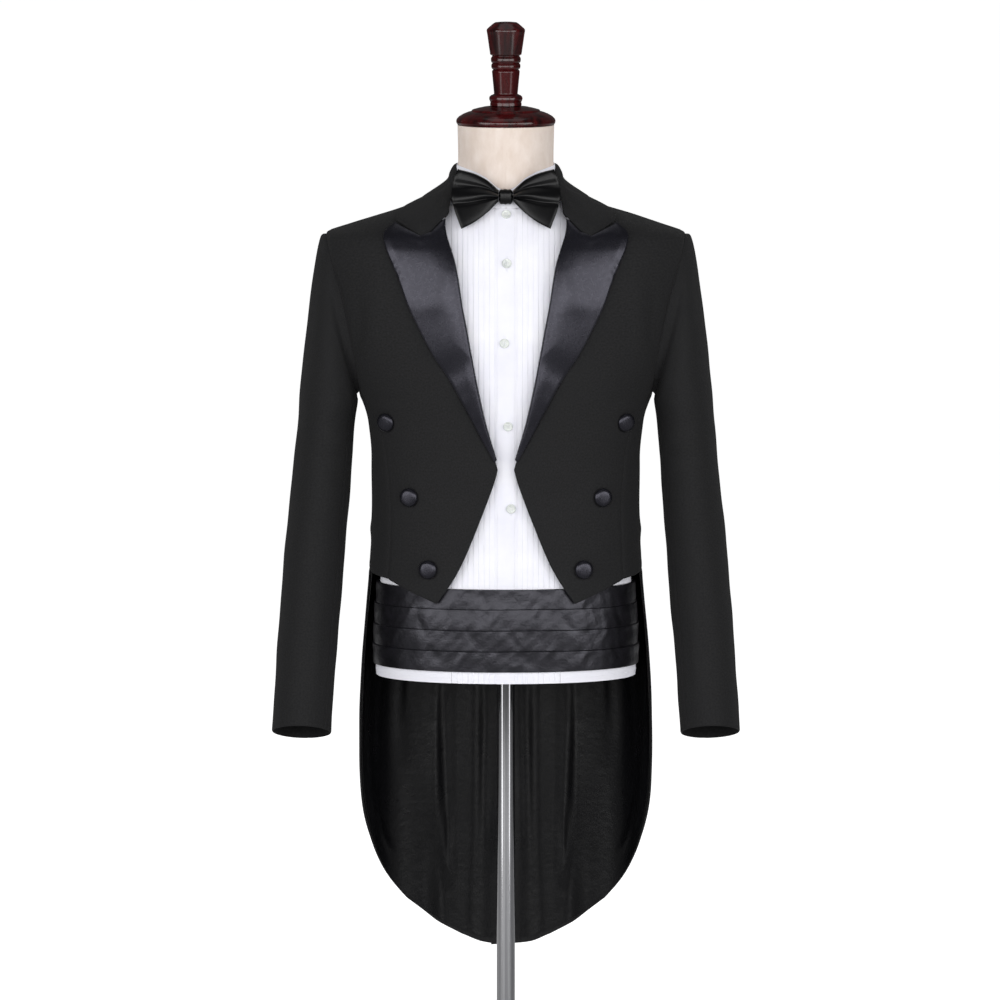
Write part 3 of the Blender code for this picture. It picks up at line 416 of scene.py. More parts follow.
def fold_relief(points: Points, folds: Sequence[Fold], place: Callable[[Points], Points]) -> Points:
    """Works out how far folds lift each point of a grid.

    Args:
        points: The grid of points.
        folds: The folds.
        place: Turns an array of a fold's places into points.

    Returns:
        The lift at each point.
    """
    total = np.zeros(points.shape[:-1])
    for fold in folds:
        line = place(spread(fold.path, 5 * (len(fold.path) - 1)))
        start, step = line[:-1], np.diff(line, axis=0)
        offset = points[..., None, :] - start
        t = np.clip((offset * step).sum(-1) / (step**2).sum(-1), 0, 1)
        away = np.linalg.norm(offset - t[..., None] * step, axis=-1)
        nearest = away.argmin(-1)[..., None]
        along = (nearest + np.take_along_axis(t, nearest, -1)) / len(step)
        taper = np.sin(np.pi * np.clip(along[..., 0], 0.03, 0.97)) ** 0.8
        near = np.take_along_axis(away, nearest, -1)[..., 0] / fold.width
        total += fold.depth * taper * np.exp(-(near**2))
    return total


def creases(place: Callable[[Sequence[Place]], Sequence[Place]], *rows: Sequence) -> tuple[Fold, ...]:
    """Makes folds.

    Args:
        place: Turns a row's places into those of the fold.
        rows: Each fold's half width, depth and places.

    Returns:
        The folds.
    """
    return tuple(Fold(tuple(place(path)), width, depth) for width, depth, *path in rows)


def unevenness(points: Points, size: float, wave: float) -> Points:
    """Gives the slight waviness that all hung cloth has, as a lift at each point.

    Args:
        points: The points.
        size: The most that it lifts.
        wave: The length of its longest wave.

    Returns:
        The lift at each point.
    """
    x, y, z = (points[..., k] * 2 * np.pi / wave for k in range(3))
    broad = np.sin(x + 0.6 * z + 1.3) * np.sin(0.8 * z - 0.5 * x + 0.4 * y)
    small = np.sin(2.3 * x - 1.1 * z + 0.7 * y + 2.1) * np.sin(1.7 * z + 1.4 * y + 0.6)
    return size * (0.65 * broad + 0.35 * small)


# Materials


def linear(colour: str) -> tuple[float, float, float, float]:
    """Turns an sRGB hex colour such as #1a2b3c into the linear colour that a shader takes."""
    parts = [int(colour[i : i + 2], 16) / 255 for i in (1, 3, 5)]
    return (*(c / 12.92 if c <= 0.04045 else ((c + 0.055) / 1.055) ** 2.4 for c in parts), 1.0)


def wire(tree: Tree, node: Node, **inputs: object) -> None:
    """Sets or links a node's inputs.

    Args:
        tree: Its tree.
        node: The node.
        inputs: A value, another node's output, or a node whose first output it takes, for each socket. A name
            is written with _ for a space, and in_0, in_1 and so on name a socket by its place.
    """
    for name, value in inputs.items():
        socket = node.inputs[int(name[3:]) if name.startswith("in_") else name.replace("_", " ")]
        if isinstance(value, Node):
            value = next(output for output in value.outputs if output.enabled)
        if isinstance(value, Socket):
            tree.links.new(value, socket)
        else:
            socket.default_value = value


def add_node(tree: Tree, kind: str, settings: dict[str, object] | None = None, **inputs: object) -> Node:
    """Adds a node with its settings and links.

    Args:
        tree: The tree that it joins.
        kind: The node's type.
        settings: Its properties.
        inputs: Its inputs, as wire takes them.

    Returns:
        The new node.
    """
    made = tree.nodes.new(kind)
    for name, value in (settings or {}).items():
        setattr(made, name, value)
    wire(tree, made, **inputs)
    return made


RGBA, FLOAT, TIMES = {"data_type": "RGBA"}, {"data_type": "FLOAT"}, {"operation": "MULTIPLY"}


# Crushed places in satin: their size and their most height
CRUSH_SIZE, CRUSH_HEIGHT = 0.009, 0.004


@dataclass(frozen=True)
class Finish:
    """What all finishes share: a pattern that shifts their colour and their gloss.

    Attributes:
        name: Its common name, and how it was made.
        slot: The record's material slot; not used.
        low: Its colour where the pattern is low.
        high: Its colour where the pattern is high.
        roughness: Its roughness.
    """

    name: str
    slot: str
    low: str
    high: str
    roughness: float

    @cache
    def material(self) -> bpy.types.Material:
        """Builds the material once."""
        made = bpy.data.materials.new(self.name)
        made.use_nodes = True
        self.fill(made.node_tree, made.node_tree.nodes["Principled BSDF"])
        return made

    def patterned(
        self, tree: Tree, pattern: Node, colours: Place, reads: Place, gloss: Place
    ) -> dict[str, Node]:
        """Lets a pattern shift the colour and the roughness.

        Args:
            tree: The material's tree.
            pattern: The node that draws it.
            colours: The pattern's values at which the low and the high colour are reached.
            reads: The pattern's values between which the roughness changes.
            gloss: The roughness at both.

        Returns:
            The nodes for the shader's colour and roughness.
        """
        node = partial(add_node, tree)
        share = node("ShaderNodeMapRange", Value=pattern, From_Min=colours[0], From_Max=colours[1])
        colour = node("ShaderNodeMix", RGBA, in_0=share, in_6=linear(self.low), in_7=linear(self.high))
        rough = node(
            "ShaderNodeMapRange", Value=pattern, From_Min=reads[0], From_Max=reads[1], To_Min=gloss[0],
            To_Max=gloss[1],
        )
        return {"Base_Color": colour, "Roughness": rough}


class Weave(Enum):
    """How a cloth's threads cross."""

    TWILL = "twill"
    PLAIN = "plain"
    SATIN = "satin"


@dataclass(frozen=True)
class ClothFinish(Finish):
    """A woven cloth, which is low in its duller places.

    Attributes:
        weave: How its threads cross.
        thread: The drawn spacing of its threads, in metres.
        specular: The shader's specular level.
        sheen: The weight of the soft light that its nap scatters.
        bump: How strongly the threads show.
        mottle: The size of the slow changes of its colour and gloss, in metres.
        crush: How strongly small crushed places bend its gloss.
        tint: The colour of its gloss.
    """

    weave: Weave
    thread: float
    specular: float = 0.5
    sheen: float = 0.0
    bump: float = 0.3
    mottle: float = 0.04
    crush: float = 0.0
    tint: str = "#ffffff"

    def fill(self, tree: Tree, shader: Node) -> None:
        """Builds the cloth's nodes.

        Args:
            tree: The material's tree.
            shader: Its shader.
        """
        node = partial(add_node, tree)
        face = node("ShaderNodeUVMap", {"uv_map": "cloth"})
        threads = self.threads(tree, face)
        mottle = node("ShaderNodeTexNoise", Vector=face, Scale=1 / self.mottle, Detail=5.0, Roughness=0.6)
        gloss = (self.roughness + 0.05, self.roughness - 0.04)
        shifted = self.patterned(tree, mottle, (0.35, 0.68), (0.3, 0.7), gloss)
        bump = node("ShaderNodeBump", Height=threads, Strength=self.bump, Distance=self.thread * 0.25)
        if self.crush:
            places = node(
                "ShaderNodeTexNoise", Vector=face, Scale=1 / CRUSH_SIZE, Detail=5.0, Roughness=0.62,
                Distortion=0.2,
            )
            bump = node(
                "ShaderNodeBump", Height=places, Strength=self.crush, Distance=CRUSH_HEIGHT, Normal=bump
            )
        wire(tree, shader, **shifted, Normal=bump, Specular_IOR_Level=self.specular)
        wire(tree, shader, Specular_Tint=linear(self.tint), Sheen_Weight=self.sheen, Sheen_Roughness=0.6)

    def threads(self, tree: Tree, face: Node) -> Socket | Node:
        """Draws the threads.

        Args:
            tree: The material's tree.
            face: The node with the place on the cloth, in metres.

        Returns:
            The threads' height.
        """
        node = partial(add_node, tree)
        if self.weave is Weave.SATIN:
            # Long floats of the warp hide the weft, so only fine streaks along the warp show
            long = node("ShaderNodeMapping", Vector=face, Scale=(1 / self.thread, 30.0, 1.0))
            return node("ShaderNodeTexNoise", Vector=long, Scale=1.0, Detail=3.0)
        lean, share = (math.radians(63), 0.25) if self.weave is Weave.TWILL else (0.0, 0.5)
        turned = node("ShaderNodeMapping", Vector=face, Rotation=(0, 0, lean))
        # A wave texture's band is 2 pi / 20 of its unit, so this scale puts a thread at each spacing
        scale = 2 * math.pi / 20 / self.thread
        warp, weft = (
            node(
                "ShaderNodeTexWave",
                {"wave_type": "BANDS", "bands_direction": direction, "wave_profile": "SIN"}, Vector=turned,
                Scale=scale, Distortion=0.8, Detail=1.0,
            ).outputs["Fac"] for direction in "XY"
        )
        return node("ShaderNodeMix", FLOAT, in_0=share, in_2=warp, in_3=weft)


@dataclass(frozen=True)
class HardFinish(Finish):
    """A hard, smooth material, which is high in its grain or cloudiness, or, on chrome, in streaks of painted
    reflection.

    Attributes:
        grain: How far its pattern is stretched along X, Y and Z, in waves a metre.
        metallic: 1 for metal.
        coat: The weight of a clear coat.
        bump: How strongly the pattern is felt.
    """

    grain: tuple[float, float, float]
    metallic: float = 0.0
    coat: float = 0.0
    bump: float = 0.05

    def fill(self, tree: Tree, shader: Node) -> None:
        """Builds the material's nodes.

        Args:
            tree: The material's tree.
            shader: Its shader.
        """
        node = partial(add_node, tree)
        place = node("ShaderNodeTexCoord").outputs["Object"]
        stretched = node("ShaderNodeMapping", Vector=place, Scale=self.grain)
        pattern = node(
            "ShaderNodeTexNoise", Vector=stretched, Scale=1.0, Detail=6.0, Roughness=0.6, Distortion=0.4
        )
        gloss = (max(0.02, self.roughness - 0.04), self.roughness + 0.06)
        shifted = self.patterned(tree, pattern, (0.38, 0.66), (0.0, 1.0), gloss)
        felt = node("ShaderNodeBump", Height=pattern, Strength=self.bump, Distance=0.0004)
        wire(tree, shader, **shifted, Normal=felt, Metallic=self.metallic)
        wire(tree, shader, Coat_Weight=self.coat, Coat_Roughness=0.04)


# Worsted wool, woven as a fine twill: dull and even, its threads, 0.5 mm apart, drawn at 1.1 mm to show
WORSTED = ClothFinish(
    "Worsted wool twill, woven", "black_wool", "#1a1a1b", "#232324", 0.75, Weave.TWILL, 0.0011,
    specular=0.14, sheen=0.02, bump=0.5, mottle=0.0022,
)
# Polyester duchesse satin, woven: long floats of fine thread, drawn 0.8 mm wide, give a broad soft gloss that
# runs into each crease
DUCHESSE = ClothFinish(
    "Duchesse satin, woven", "black_satin", "#0e0e12", "#16161b", 0.28, Weave.SATIN, 0.0008, specular=0.48,
    bump=0.6, mottle=0.005, crush=0.03, tint="#eeecff",
)
# A lighter satin for the tie: dense black, with a gloss only where it faces the light
TIE_SATIN = ClothFinish(
    "Tie satin, woven", "black_satin", "#050506", "#08080a", 0.3, Weave.SATIN, 0.0008, specular=0.24,
    bump=0.2, mottle=0.03, crush=0.03,
)
# Satin that was folded and pressed by hand, so it is more crushed; the strong mottle of its colour, from near
# black to dark grey, is partly painted sheen
CUMMERBUND_SATIN = ClothFinish(
    "Pleated satin, woven and pressed", "black_satin", "#09090b", "#1a191d", 0.34, Weave.SATIN, 0.0008,
    specular=0.5, bump=0.3, mottle=0.012, crush=0.18, tint="#f2f1ff",
)
# Acetate lining, woven: thinner than the satin, with a liquid gloss
ACETATE = ClothFinish(
    "Acetate lining, woven", "black_lining", "#050507", "#08080a", 0.3, Weave.SATIN, 0.0006, specular=0.25,
    bump=0.2, mottle=0.05, crush=0.12,
)
# Cotton poplin, plain woven: matt white, its 0.3 mm threads drawn at 0.9 mm to show
POPLIN = ClothFinish(
    "Cotton poplin, plain woven", "white_cotton", "#e9e9f3", "#f1f1f7", 0.8, Weave.PLAIN, 0.0009,
    specular=0.3, sheen=0.1, bump=0.15, mottle=0.06,
)
# Linen canvas, plain woven and pasted on the form: cream, its 0.8 mm threads drawn at 1.2 mm to show
LINEN = ClothFinish(
    "Linen canvas, plain woven", "form_linen", "#e0d0c4", "#ecdfd6", 0.85, Weave.PLAIN, 0.0012,
    specular=0.3, sheen=0.1, bump=0.5, mottle=0.03,
)
# Polyester sewing thread, twisted: a slight shine on each stitch
WHITE_THREAD = ClothFinish(
    "White sewing thread, twisted", "white_cotton", "#e4e4ec", "#f2f2f6", 0.5, Weave.PLAIN, 0.0003,
    specular=0.4,
)
# Mother-of-pearl, turned: pale, cloudy and glossy
PEARL = HardFinish(
    "Mother-of-pearl, turned", "pearl_button", "#e9ece8", "#c9cfcd", 0.18, (260.0, 260.0, 260.0), coat=0.5
)
# Lacquered beech, turned: a dark red stain under a thin clear gloss, with the grain up the piece
LACQUER = HardFinish(
    "Lacquered beech, turned", "red_lacquer", "#480c0e", "#180304", 0.16, (90.0, 90.0, 14.0), coat=0.08
)
# Chromium-plated steel tube, drawn and plated: a mirror with a faint haze, whose colour carries light and
# dark streaks up the tube that are painted reflection
CHROME = HardFinish(
    "Chromed steel, plated", "chromed_steel", "#d6d6d9", "#a2a3a7", 0.06, (150.0, 150.0, 0.8), 1.0,
    bump=0.01,
)


# Meshes and pieces


def signed_volume(points: Points, faces: Points) -> float:
    """Measures the volume inside closed four-sided faces.

    Args:
        points: Their points, one a row.
        faces: The faces, four of the points each.

    Returns:
        The volume, which is negative where the faces point inwards.
    """
    a, b, c, d = (points[faces[:, k]] for k in range(4))
    six = (a * np.cross(b, c)).sum() + (a * np.cross(c, d)).sum()
    return float(six) / 6


def grid_faces(outer: Points) -> Points:
    """Lists the faces of a closed wall between two like grids of points.

    Args:
        outer: One of the grids.

    Returns:
        The faces, four points each, where the second grid's points follow the first one's.
    """
    rows, columns = outer.shape[:2]
    count = rows * columns
    at = np.arange(count).reshape(rows, columns)
    front = np.stack([at[:-1, :-1], at[:-1, 1:], at[1:, 1:], at[1:, :-1]], axis=-1).reshape(-1, 4)
    rim = np.concatenate([at[0, :-1], at[:-1, -1], at[-1, :0:-1], at[:0:-1, 0]])
    onward = np.roll(rim, -1)
    sides = np.stack([onward, rim, rim + count, onward + count], axis=-1)
    return np.concatenate([front, front[:, ::-1] + count, sides])


SHARP_ANGLE = math.radians(48)
# Points closer than this are one
MERGED = 0.00002


def mesh_object(
    name: str, points: Points, faces: Points, uv: Points, material: bpy.types.Material
) -> Object:
    """Makes an object of four-sided faces that point outwards.

    Args:
        name: Its name.
        points: Its points, one a row.
        faces: Its faces, four of the points each.
        uv: The place of each point on the cloth, in metres.
        material: Its material.

    Returns:
        The object.
    """
    if signed_volume(points, faces) < 0:
        faces = faces[:, ::-1]
    mesh = bpy.data.meshes.new(name)
    mesh.from_pydata(points.tolist(), [], faces.tolist())
    layer = mesh.uv_layers.new(name="cloth")
    layer.data.foreach_set("uv", uv[faces.ravel()].astype(np.float32).ravel())
    mesh.materials.append(material)
    mesh.shade_smooth()
    mesh.set_sharp_from_angle(angle=SHARP_ANGLE)
    made = bpy.data.objects.new(name, mesh)
    bpy.context.scene.collection.objects.link(made)
    return made


def close_mesh(made: Object) -> None:
    """Fills a mesh's open ends, where it has any, and points its faces outwards."""
    build = bmesh.new()
    build.from_mesh(made.data)
    bmesh.ops.remove_doubles(build, verts=build.verts, dist=MERGED)
    bmesh.ops.holes_fill(build, edges=[edge for edge in build.edges if edge.is_boundary])
    bmesh.ops.recalc_face_normals(build, faces=build.faces)
    build.to_mesh(made.data)
    build.free()


@dataclass(frozen=True)
class Sheet:
    """How a piece of cloth is held: a word for how, and what it rests on."""

    held: str
    rests_on: tuple[str, ...]


def cloth_piece(
    node: str, outer: Points, inner: Points, finish: Finish, uv: Points | None = None
) -> None:
    """Args:
        node: The solid that it stands for.
        outer: The grid of its face.
        inner: The grid of its back.
        finish: Its cloth.
        uv: The place of each point on the cloth. Left out, it is measured along the rows and columns.
    """
    away = edge_distances(outer)
    if uv is None:
        uv = paired(away["left"] - away["left"].max() / 2, away["bottom"])
    flat_uv = np.concatenate([uv.reshape(-1, 2)] * 2)
    points = np.concatenate([outer.reshape(-1, 3), inner.reshape(-1, 3)])
    made = mesh_object(node + "_cloth", points, grid_faces(outer), flat_uv, finish.material())
    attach(made, "root")
    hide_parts(node)


# How a sewn edge sinks to its seam, with the pressed allowance behind it, and how a turned edge rounds over
SEAM_DEPTH, SEAM_REACH = 0.0009, 0.0013
PRESS_RISE, PRESS_PLACE, PRESS_HALF = 0.00022, 0.0065, 0.003
EDGE_DEPTH, EDGE_REACH = 0.0008, 0.002
# Thinner or folded cloth shows this share of it
THIN_EDGE = 0.6
# A fold fades out this close to a seam
SEAM_FADE = 0.014
# The longest wave of hung cloth's unevenness
WAVER_LENGTH = 0.19


def edge_relief(points: Points, seams: str, turned: str) -> Points:
    """Works out how far the face of a cloth sinks or rises near its edges.

    Args:
        points: The grid of its face.
        seams: The names of the sewn edges.
        turned: The names of the turned edges.

    Returns:
        The lift at each point.
    """
    away = edge_distances(points)
    lift = np.zeros(points.shape[:-1])
    for name in seams.split():
        lift -= SEAM_DEPTH * np.exp(-away[name] / SEAM_REACH)
        lift += PRESS_RISE * np.exp(-(((away[name] - PRESS_PLACE) / PRESS_HALF) ** 2))
    for name in turned.split():
        lift -= EDGE_DEPTH * np.clip(1 - away[name] / EDGE_REACH, 0, 1) ** 2
    return lift


@dataclass(frozen=True)
class BodyCloth:
    """A cut piece that follows a hollow body.

    Attributes:
        node: The solid that it stands for, without its side.
        body: The hollow.
        finish: Its cloth.
        sheet: How it is held; not used.
        thick: Its thickness.
        seams: The names of its sewn edges.
        turned: The names of its turned edges.
        folds: Its ridges and troughs, in (turn, height).
        waver: The size of its unevenness.
    """

    node: str
    body: Body
    finish: ClothFinish
    sheet: Sheet
    thick: float
    seams: str = "bottom top left right"
    turned: str = ""
    folds: tuple[Fold, ...] = ()
    waver: float = 0.0007

    def build(self, stations: Points, lift: Points = 0.0, sides: str = "left right") -> None:
        """Builds the piece on one side or both.

        Args:
            stations: Its stations, [row, column] of turn and height.
            lift: How far its face stands out of the body, beyond its folds.
            sides: The sides to build.
        """
        plain = self.body.at(stations)
        folded = fold_relief(plain, self.folds, self.body.at)
        away = edge_distances(plain)
        for name in self.seams.split():
            folded = folded * ease(away[name] / SEAM_FADE)
        for side in sides.split():
            relief = folded + unevenness(on_side(plain, side), self.waver, WAVER_LENGTH)
            face = lift + relief + edge_relief(plain, self.seams, self.turned)
            walls = (self.body.at(stations, out) for out in (face, lift + relief - self.thick))
            outer, inner = (on_side(points, side) for points in walls)
            cloth_piece(
                f"{self.node}_{side}", outer, inner, self.finish, self.body.grain(stations)
            )


# Stitches and turned pieces, by Geometry Nodes


def node_group(name: str, output: str, **inputs: str) -> tuple[Tree, Outputs]:
    """Starts a Geometry Nodes tree.

    Args:
        name: Its name.
        output: The name of its output.
        inputs: The kind of each of its inputs, whose name is written with _ for a space.

    Returns:
        The tree, and the sockets that its inputs come from.
    """
    tree = bpy.data.node_groups.new(name, "GeometryNodeTree")
    for socket, kind in inputs.items():
        tree.interface.new_socket(socket.replace("_", " "), in_out="INPUT", socket_type="NodeSocket" + kind)
    tree.interface.new_socket(output, in_out="OUTPUT", socket_type="NodeSocketGeometry")
    return tree, add_node(tree, "NodeGroupInput").outputs


@cache
def stitch_tree() -> Tree:
    """Builds the tree that lays a bead for each stitch along lines."""
    tree, given = node_group(
        "Stitches along a line", "Stitches", Lines="Geometry", Pitch="Float", Stitch_Length="Float",
        Thread_Radius="Float", Thread="Material",
    )
    node = partial(add_node, tree)
    curves = node("GeometryNodeMeshToCurve", Mesh=given["Lines"])
    places = node("GeometryNodeCurveToPoints", {"mode": "LENGTH"}, Curve=curves, Length=given["Pitch"])
    bead = node("GeometryNodeMeshUVSphere", Segments=6, Rings=4, Radius=1.0)
    half = node("ShaderNodeMath", TIMES, in_0=given["Stitch Length"], in_1=0.5)
    thick = given["Thread Radius"]
    size = node("ShaderNodeCombineXYZ", X=thick, Y=thick, Z=half)
    turned = places.outputs["Rotation"]
    placed = node("GeometryNodeInstanceOnPoints", Points=places, Instance=bead, Rotation=turned, Scale=size)
    real = node("GeometryNodeRealizeInstances", Geometry=placed)
    smooth = node("GeometryNodeSetShadeSmooth", Geometry=real)
    done = node("GeometryNodeSetMaterial", Geometry=smooth, Material=given["Thread"])
    node("NodeGroupOutput", Stitches=done)
    return tree


@cache
def turning_tree() -> Tree:
    """Builds the tree that turns a profile round +Z, with Samples down it, Steps round it and soft Flutes."""
    tree, given = node_group(
        "Turned profile", "Turned", Profile="Geometry", Samples="Int", Steps="Int", Flutes="Float",
        Flute_Depth="Float", Finish="Material",
    )
    node = partial(add_node, tree)
    curve = node("GeometryNodeMeshToCurve", Mesh=given["Profile"])
    sheet = node(
        "GeometryNodeMeshGrid", Size_X=1.0, Size_Y=1.0, Vertices_X=given["Samples"],
        Vertices_Y=given["Steps"],
    )
    where = node("ShaderNodeSeparateXYZ", Vector=node("GeometryNodeInputPosition"))
    down = node("ShaderNodeMath", {"operation": "ADD"}, in_0=where, in_1=0.5)
    sample = node(
        "GeometryNodeSampleCurve", {"mode": "FACTOR", "use_all_curves": True}, Curves=curve, Factor=down
    )
    at = node("ShaderNodeSeparateXYZ", Vector=sample.outputs["Position"])
    angle = node("ShaderNodeMath", TIMES, in_0=where.outputs["Y"], in_1=2 * math.pi)
    around = node("ShaderNodeMath", TIMES, in_0=angle, in_1=given["Flutes"])
    wave = node("ShaderNodeMath", {"operation": "COSINE"}, in_0=around)
    depth = node(
        "ShaderNodeMath", {"operation": "MULTIPLY_ADD"}, in_0=wave, in_1=given["Flute Depth"], in_2=1.0
    )
    radius = node("ShaderNodeMath", TIMES, in_0=at, in_1=depth)
    x, y = (
        node(
            "ShaderNodeMath", TIMES, in_0=radius,
            in_1=node("ShaderNodeMath", {"operation": name}, in_0=angle),
        ) for name in ("COSINE", "SINE")
    )
    place = node("ShaderNodeCombineXYZ", X=x, Y=y, Z=at.outputs["Z"])
    moved = node("GeometryNodeSetPosition", Geometry=sheet, Position=place)
    closed = node("GeometryNodeMergeByDistance", Geometry=moved, Distance=MERGED)
    real = node("GeometryNodeRealizeInstances", Geometry=closed)
    done = node("GeometryNodeSetMaterial", Geometry=real, Material=given["Finish"])
    node("NodeGroupOutput", Turned=done)
    return tree


def made_by_nodes(name: str, points: Points, edges: Points, tree: Tree, **inputs: object) -> Object:
    """Runs a Geometry Nodes tree on lines and keeps what it makes as a plain mesh.

    Args:
        name: The new object's name.
        points: The lines' points, one a row.
        edges: The lines' edges, two points each.
        tree: The tree.
        inputs: A value for each of its inputs, named with _ for a space.

    Returns:
        The object, without a modifier.
    """
    lines = bpy.data.meshes.new(name + "_lines")
    lines.from_pydata(points.tolist(), edges.tolist(), [])
    made = bpy.data.objects.new(name, lines)
    modifier = made.modifiers.new("Nodes", "NODES")
    modifier.node_group = tree
    for socket in tree.interface.items_tree:
        key = socket.name.replace(" ", "_")
        if socket.in_out == "INPUT" and key in inputs:
            modifier[socket.identifier] = inputs[key]
    bpy.context.scene.collection.objects.link(made)
    evaluated = made.evaluated_get(bpy.context.evaluated_depsgraph_get())
    mesh = bpy.data.meshes.new_from_object(evaluated)
    made.modifiers.clear()
    made.data = mesh
    mesh.name = name
    bpy.data.meshes.remove(lines)
    return made


@dataclass(frozen=True)
class StitchLine:
    """A kind of stitching: its pitch, the length of a stitch that shows, and the thread's radius."""

    pitch: float
    length: float
    radius: float

    def sew(self, name: str, lines: Sequence[Points], thread: Finish) -> None:
        """Sews along lines of points, all the stitches in one mesh.

        Args:
            name: The piece's name.
            lines: The lines.
            thread: The thread's finish.
        """
        starts = np.cumsum([0] + [len(line) for line in lines])
        edges = [(s + i, s + i + 1) for s, line in zip(starts, lines) for i in range(len(line) - 1)]
        made = made_by_nodes(
            name, np.concatenate(lines), np.array(edges), stitch_tree(), Pitch=self.pitch,
            Stitch_Length=self.length, Thread_Radius=self.radius, Thread=thread.material(),
        )
        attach(made, "root")
        LOG.info("%s: %d lines of stitches", name, len(lines))


LOCKSTITCH = StitchLine(0.0026, 0.0019, 0.00028)
PURL = StitchLine(0.0008, 0.0011, 0.0003)
BUTTON_THREAD = StitchLine(0.0009, 0.0016, 0.00022)
UP = (0.0, 0.0, 1.0)


def standing(seat: Sequence[float], facing: Sequence[float]) -> Matrix:
    """Gives the transform that stands a thing on a seat, with its +Z to facing."""
    turn = Vector(UP).rotation_difference(Vector(facing)).to_matrix().to_4x4()
    return Matrix.Translation(Vector(seat)) @ turn


def turned_piece(
    name: str, profile: Sequence[Place], finish: Finish, samples: int, steps: int,
    seat: Sequence[float] = (0.0, 0.0, 0.0), facing: Sequence[float] = UP, flutes: float = 0.0,
    flute_depth: float = 0.0,
) -> Object:
    """Turns a profile round an axis.

    Args:
        name: The solid that the piece stands for.
        profile: Its (radius, height) points in millimetres, from the top down its outer side.
        finish: Its finish.
        samples: How many points the profile is drawn with.
        steps: How many steps it has round the axis.
        seat: Where its foot stands.
        facing: The direction of its axis.
        flutes: How many waves run round it.
        flute_depth: Their depth, as a share of its radius.

    Returns:
        The piece.
    """
    points = np.array([(radius, 0.0, height) for radius, height in profile]) / 1000
    edges = np.array([(i, i + 1) for i in range(len(points) - 1)])
    made = made_by_nodes(
        name + "_turned", points, edges, turning_tree(), Samples=samples, Steps=steps + 1, Flutes=flutes,
        Flute_Depth=flute_depth, Finish=finish.material(),
    )
    made.data.transform(standing(seat, facing))
    close_mesh(made)
    made.data.shade_smooth()
    made.data.set_sharp_from_angle(angle=SHARP_ANGLE)
    layer = made.data.uv_layers.new(name="cloth")
    for loop in made.data.loops:
        x, y, z = made.data.vertices[loop.vertex_index].co
        layer.data[loop.index].uv = (x, z + y)
    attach(made, "root")
    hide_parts(name)
    LOG.info("%s: turned, %d faces", made.name, len(made.data.polygons))
    return made


# The coat's seam lines, on the wearer's left

ROWS_SEAM, ROWS_ARM, ROWS_TAIL = 8, 8, 12
FRONT_COLUMNS, SIDE_COLUMNS, BACK_COLUMNS, SKIRT_COLUMNS = 8, 5, 4, 8
FRONT_SEAM_TOP, BACK_SEAM_TOP = 1.141, 1.186
HEM_AT_FRONT_SEAM = 0.912
ROLL_TUCK = 0.0025
FRONT_CUT = ((0.0828, 0.8857), (0.059, 0.921), (0.0318, 0.983), (0.013, 1.034), (0.0097, 1.047))
ROLL_LINE = ((0.0108, 1.06), (0.0221, 1.099), (0.0315, 1.14), (0.0385, 1.175))
ROLL_LINE_UPPER = ((0.0385, 1.175), (0.0492, 1.233), (0.0593, 1.292), (0.0712, 1.3434))
LAPEL_EDGE = (
    (0.0135, 1.056), (0.0324, 1.0905), (0.0593, 1.142), (0.089, 1.19), (0.1115, 1.2347), (0.1292, 1.281),
    (0.141, 1.3285),
)
GORGE, GORGE_BEND, NOTCH = (0.101, 1.3222), (0.088, 1.3262), (0.13, 1.3355)
NECK_EDGE = ((45.5, 1.346), (60.0, 1.36), (75.0, 1.3705), (90.0, NECK_SIDE))
TAIL_EDGE = (
    (TAIL_FRONT, WAIST_SIDE), (93.0, 0.85), (94.0, 0.78), (94.5, 0.712), (96.5, 0.659), (102.5, 0.608),
    (108.0, 0.5812), (116.2, 0.5534), (123.9, 0.5263), (130.9, 0.503),
)
TAIL_HEM = ((130.9, 0.503), (137.5, 0.4882), (145.1, 0.4732), (157.0, 0.456))
VENT_LAP, VENT_TOP = 7.5, 0.96
LAP_LIFT = WOOL + LINING + LAY_GAP + 0.0009
# The linings stop this share of a solid's cell short of the tail's edges
HEM_MARGIN = 0.16
# The gorge seam's small puckers: where the row starts, how many there are, and how far they run down
PUCKER_START, PUCKERS, PUCKER_RUN = (0.0725, 1.342), 11, 0.007

armhole_x = smooth_curve(
    (ARMPIT, 1.15, 1.175, 1.235, 1.29, 1.316, SHOULDER_TIP),
    (0.1765, 0.1778, 0.1812, 0.193, 0.208, 0.214, 0.2146),
)


def armhole_turn(height: Points, back: bool) -> Points:
    """Finds the turn of the armhole's edge at a height."""
    return COAT.turn_at(armhole_x(height), height, back)


def armhole_run(low: float, high: float, count: int, back: bool) -> Points:
    """Gives stations up one side of the armhole, closer together towards its top and bottom."""
    heights = low + (high - low) * (1 - np.cos(np.linspace(0, math.pi, count + 1))) / 2
    run = paired(armhole_turn(heights, back), heights)
    if high == SHOULDER_TIP:
        run[-1, 0] = 90.0
    return run


def armhole_floor(count: int) -> Points:
    """Gives stations under the arm, from the front seam's top through the armpit to the back seam's top."""
    angle = np.linspace(-1, 1, count + 1)
    back = angle > 0
    heights = ARMPIT + np.where(back, BACK_SEAM_TOP - ARMPIT, FRONT_SEAM_TOP - ARMPIT) * angle**2
    turns = np.where(back, armhole_turn(heights, True), armhole_turn(heights, False))
    # Close to the armpit the edge is at the body's own side
    side = ease(np.abs(angle) / 0.2)
    return paired(90.0 + (turns - 90.0) * side, heights)


# Up the seam between front and side body
front_seam = partial(
    spread, [(FRONT_SEAM, HEM_AT_FRONT_SEAM), (65.5, 0.98), (68.0, 1.07), (80.0, FRONT_SEAM_TOP)]
)


def back_seam(count: int) -> Points:
    """Gives stations up the curved seam between side body and back."""
    top = float(armhole_turn(BACK_SEAM_TOP, True))
    middle = [(151.0, 1.01), (143.0, 1.09), (128.0, 1.15)]
    return spread([(BACK_SEAM, WAIST_BACK), *middle, (top, BACK_SEAM_TOP)], count)


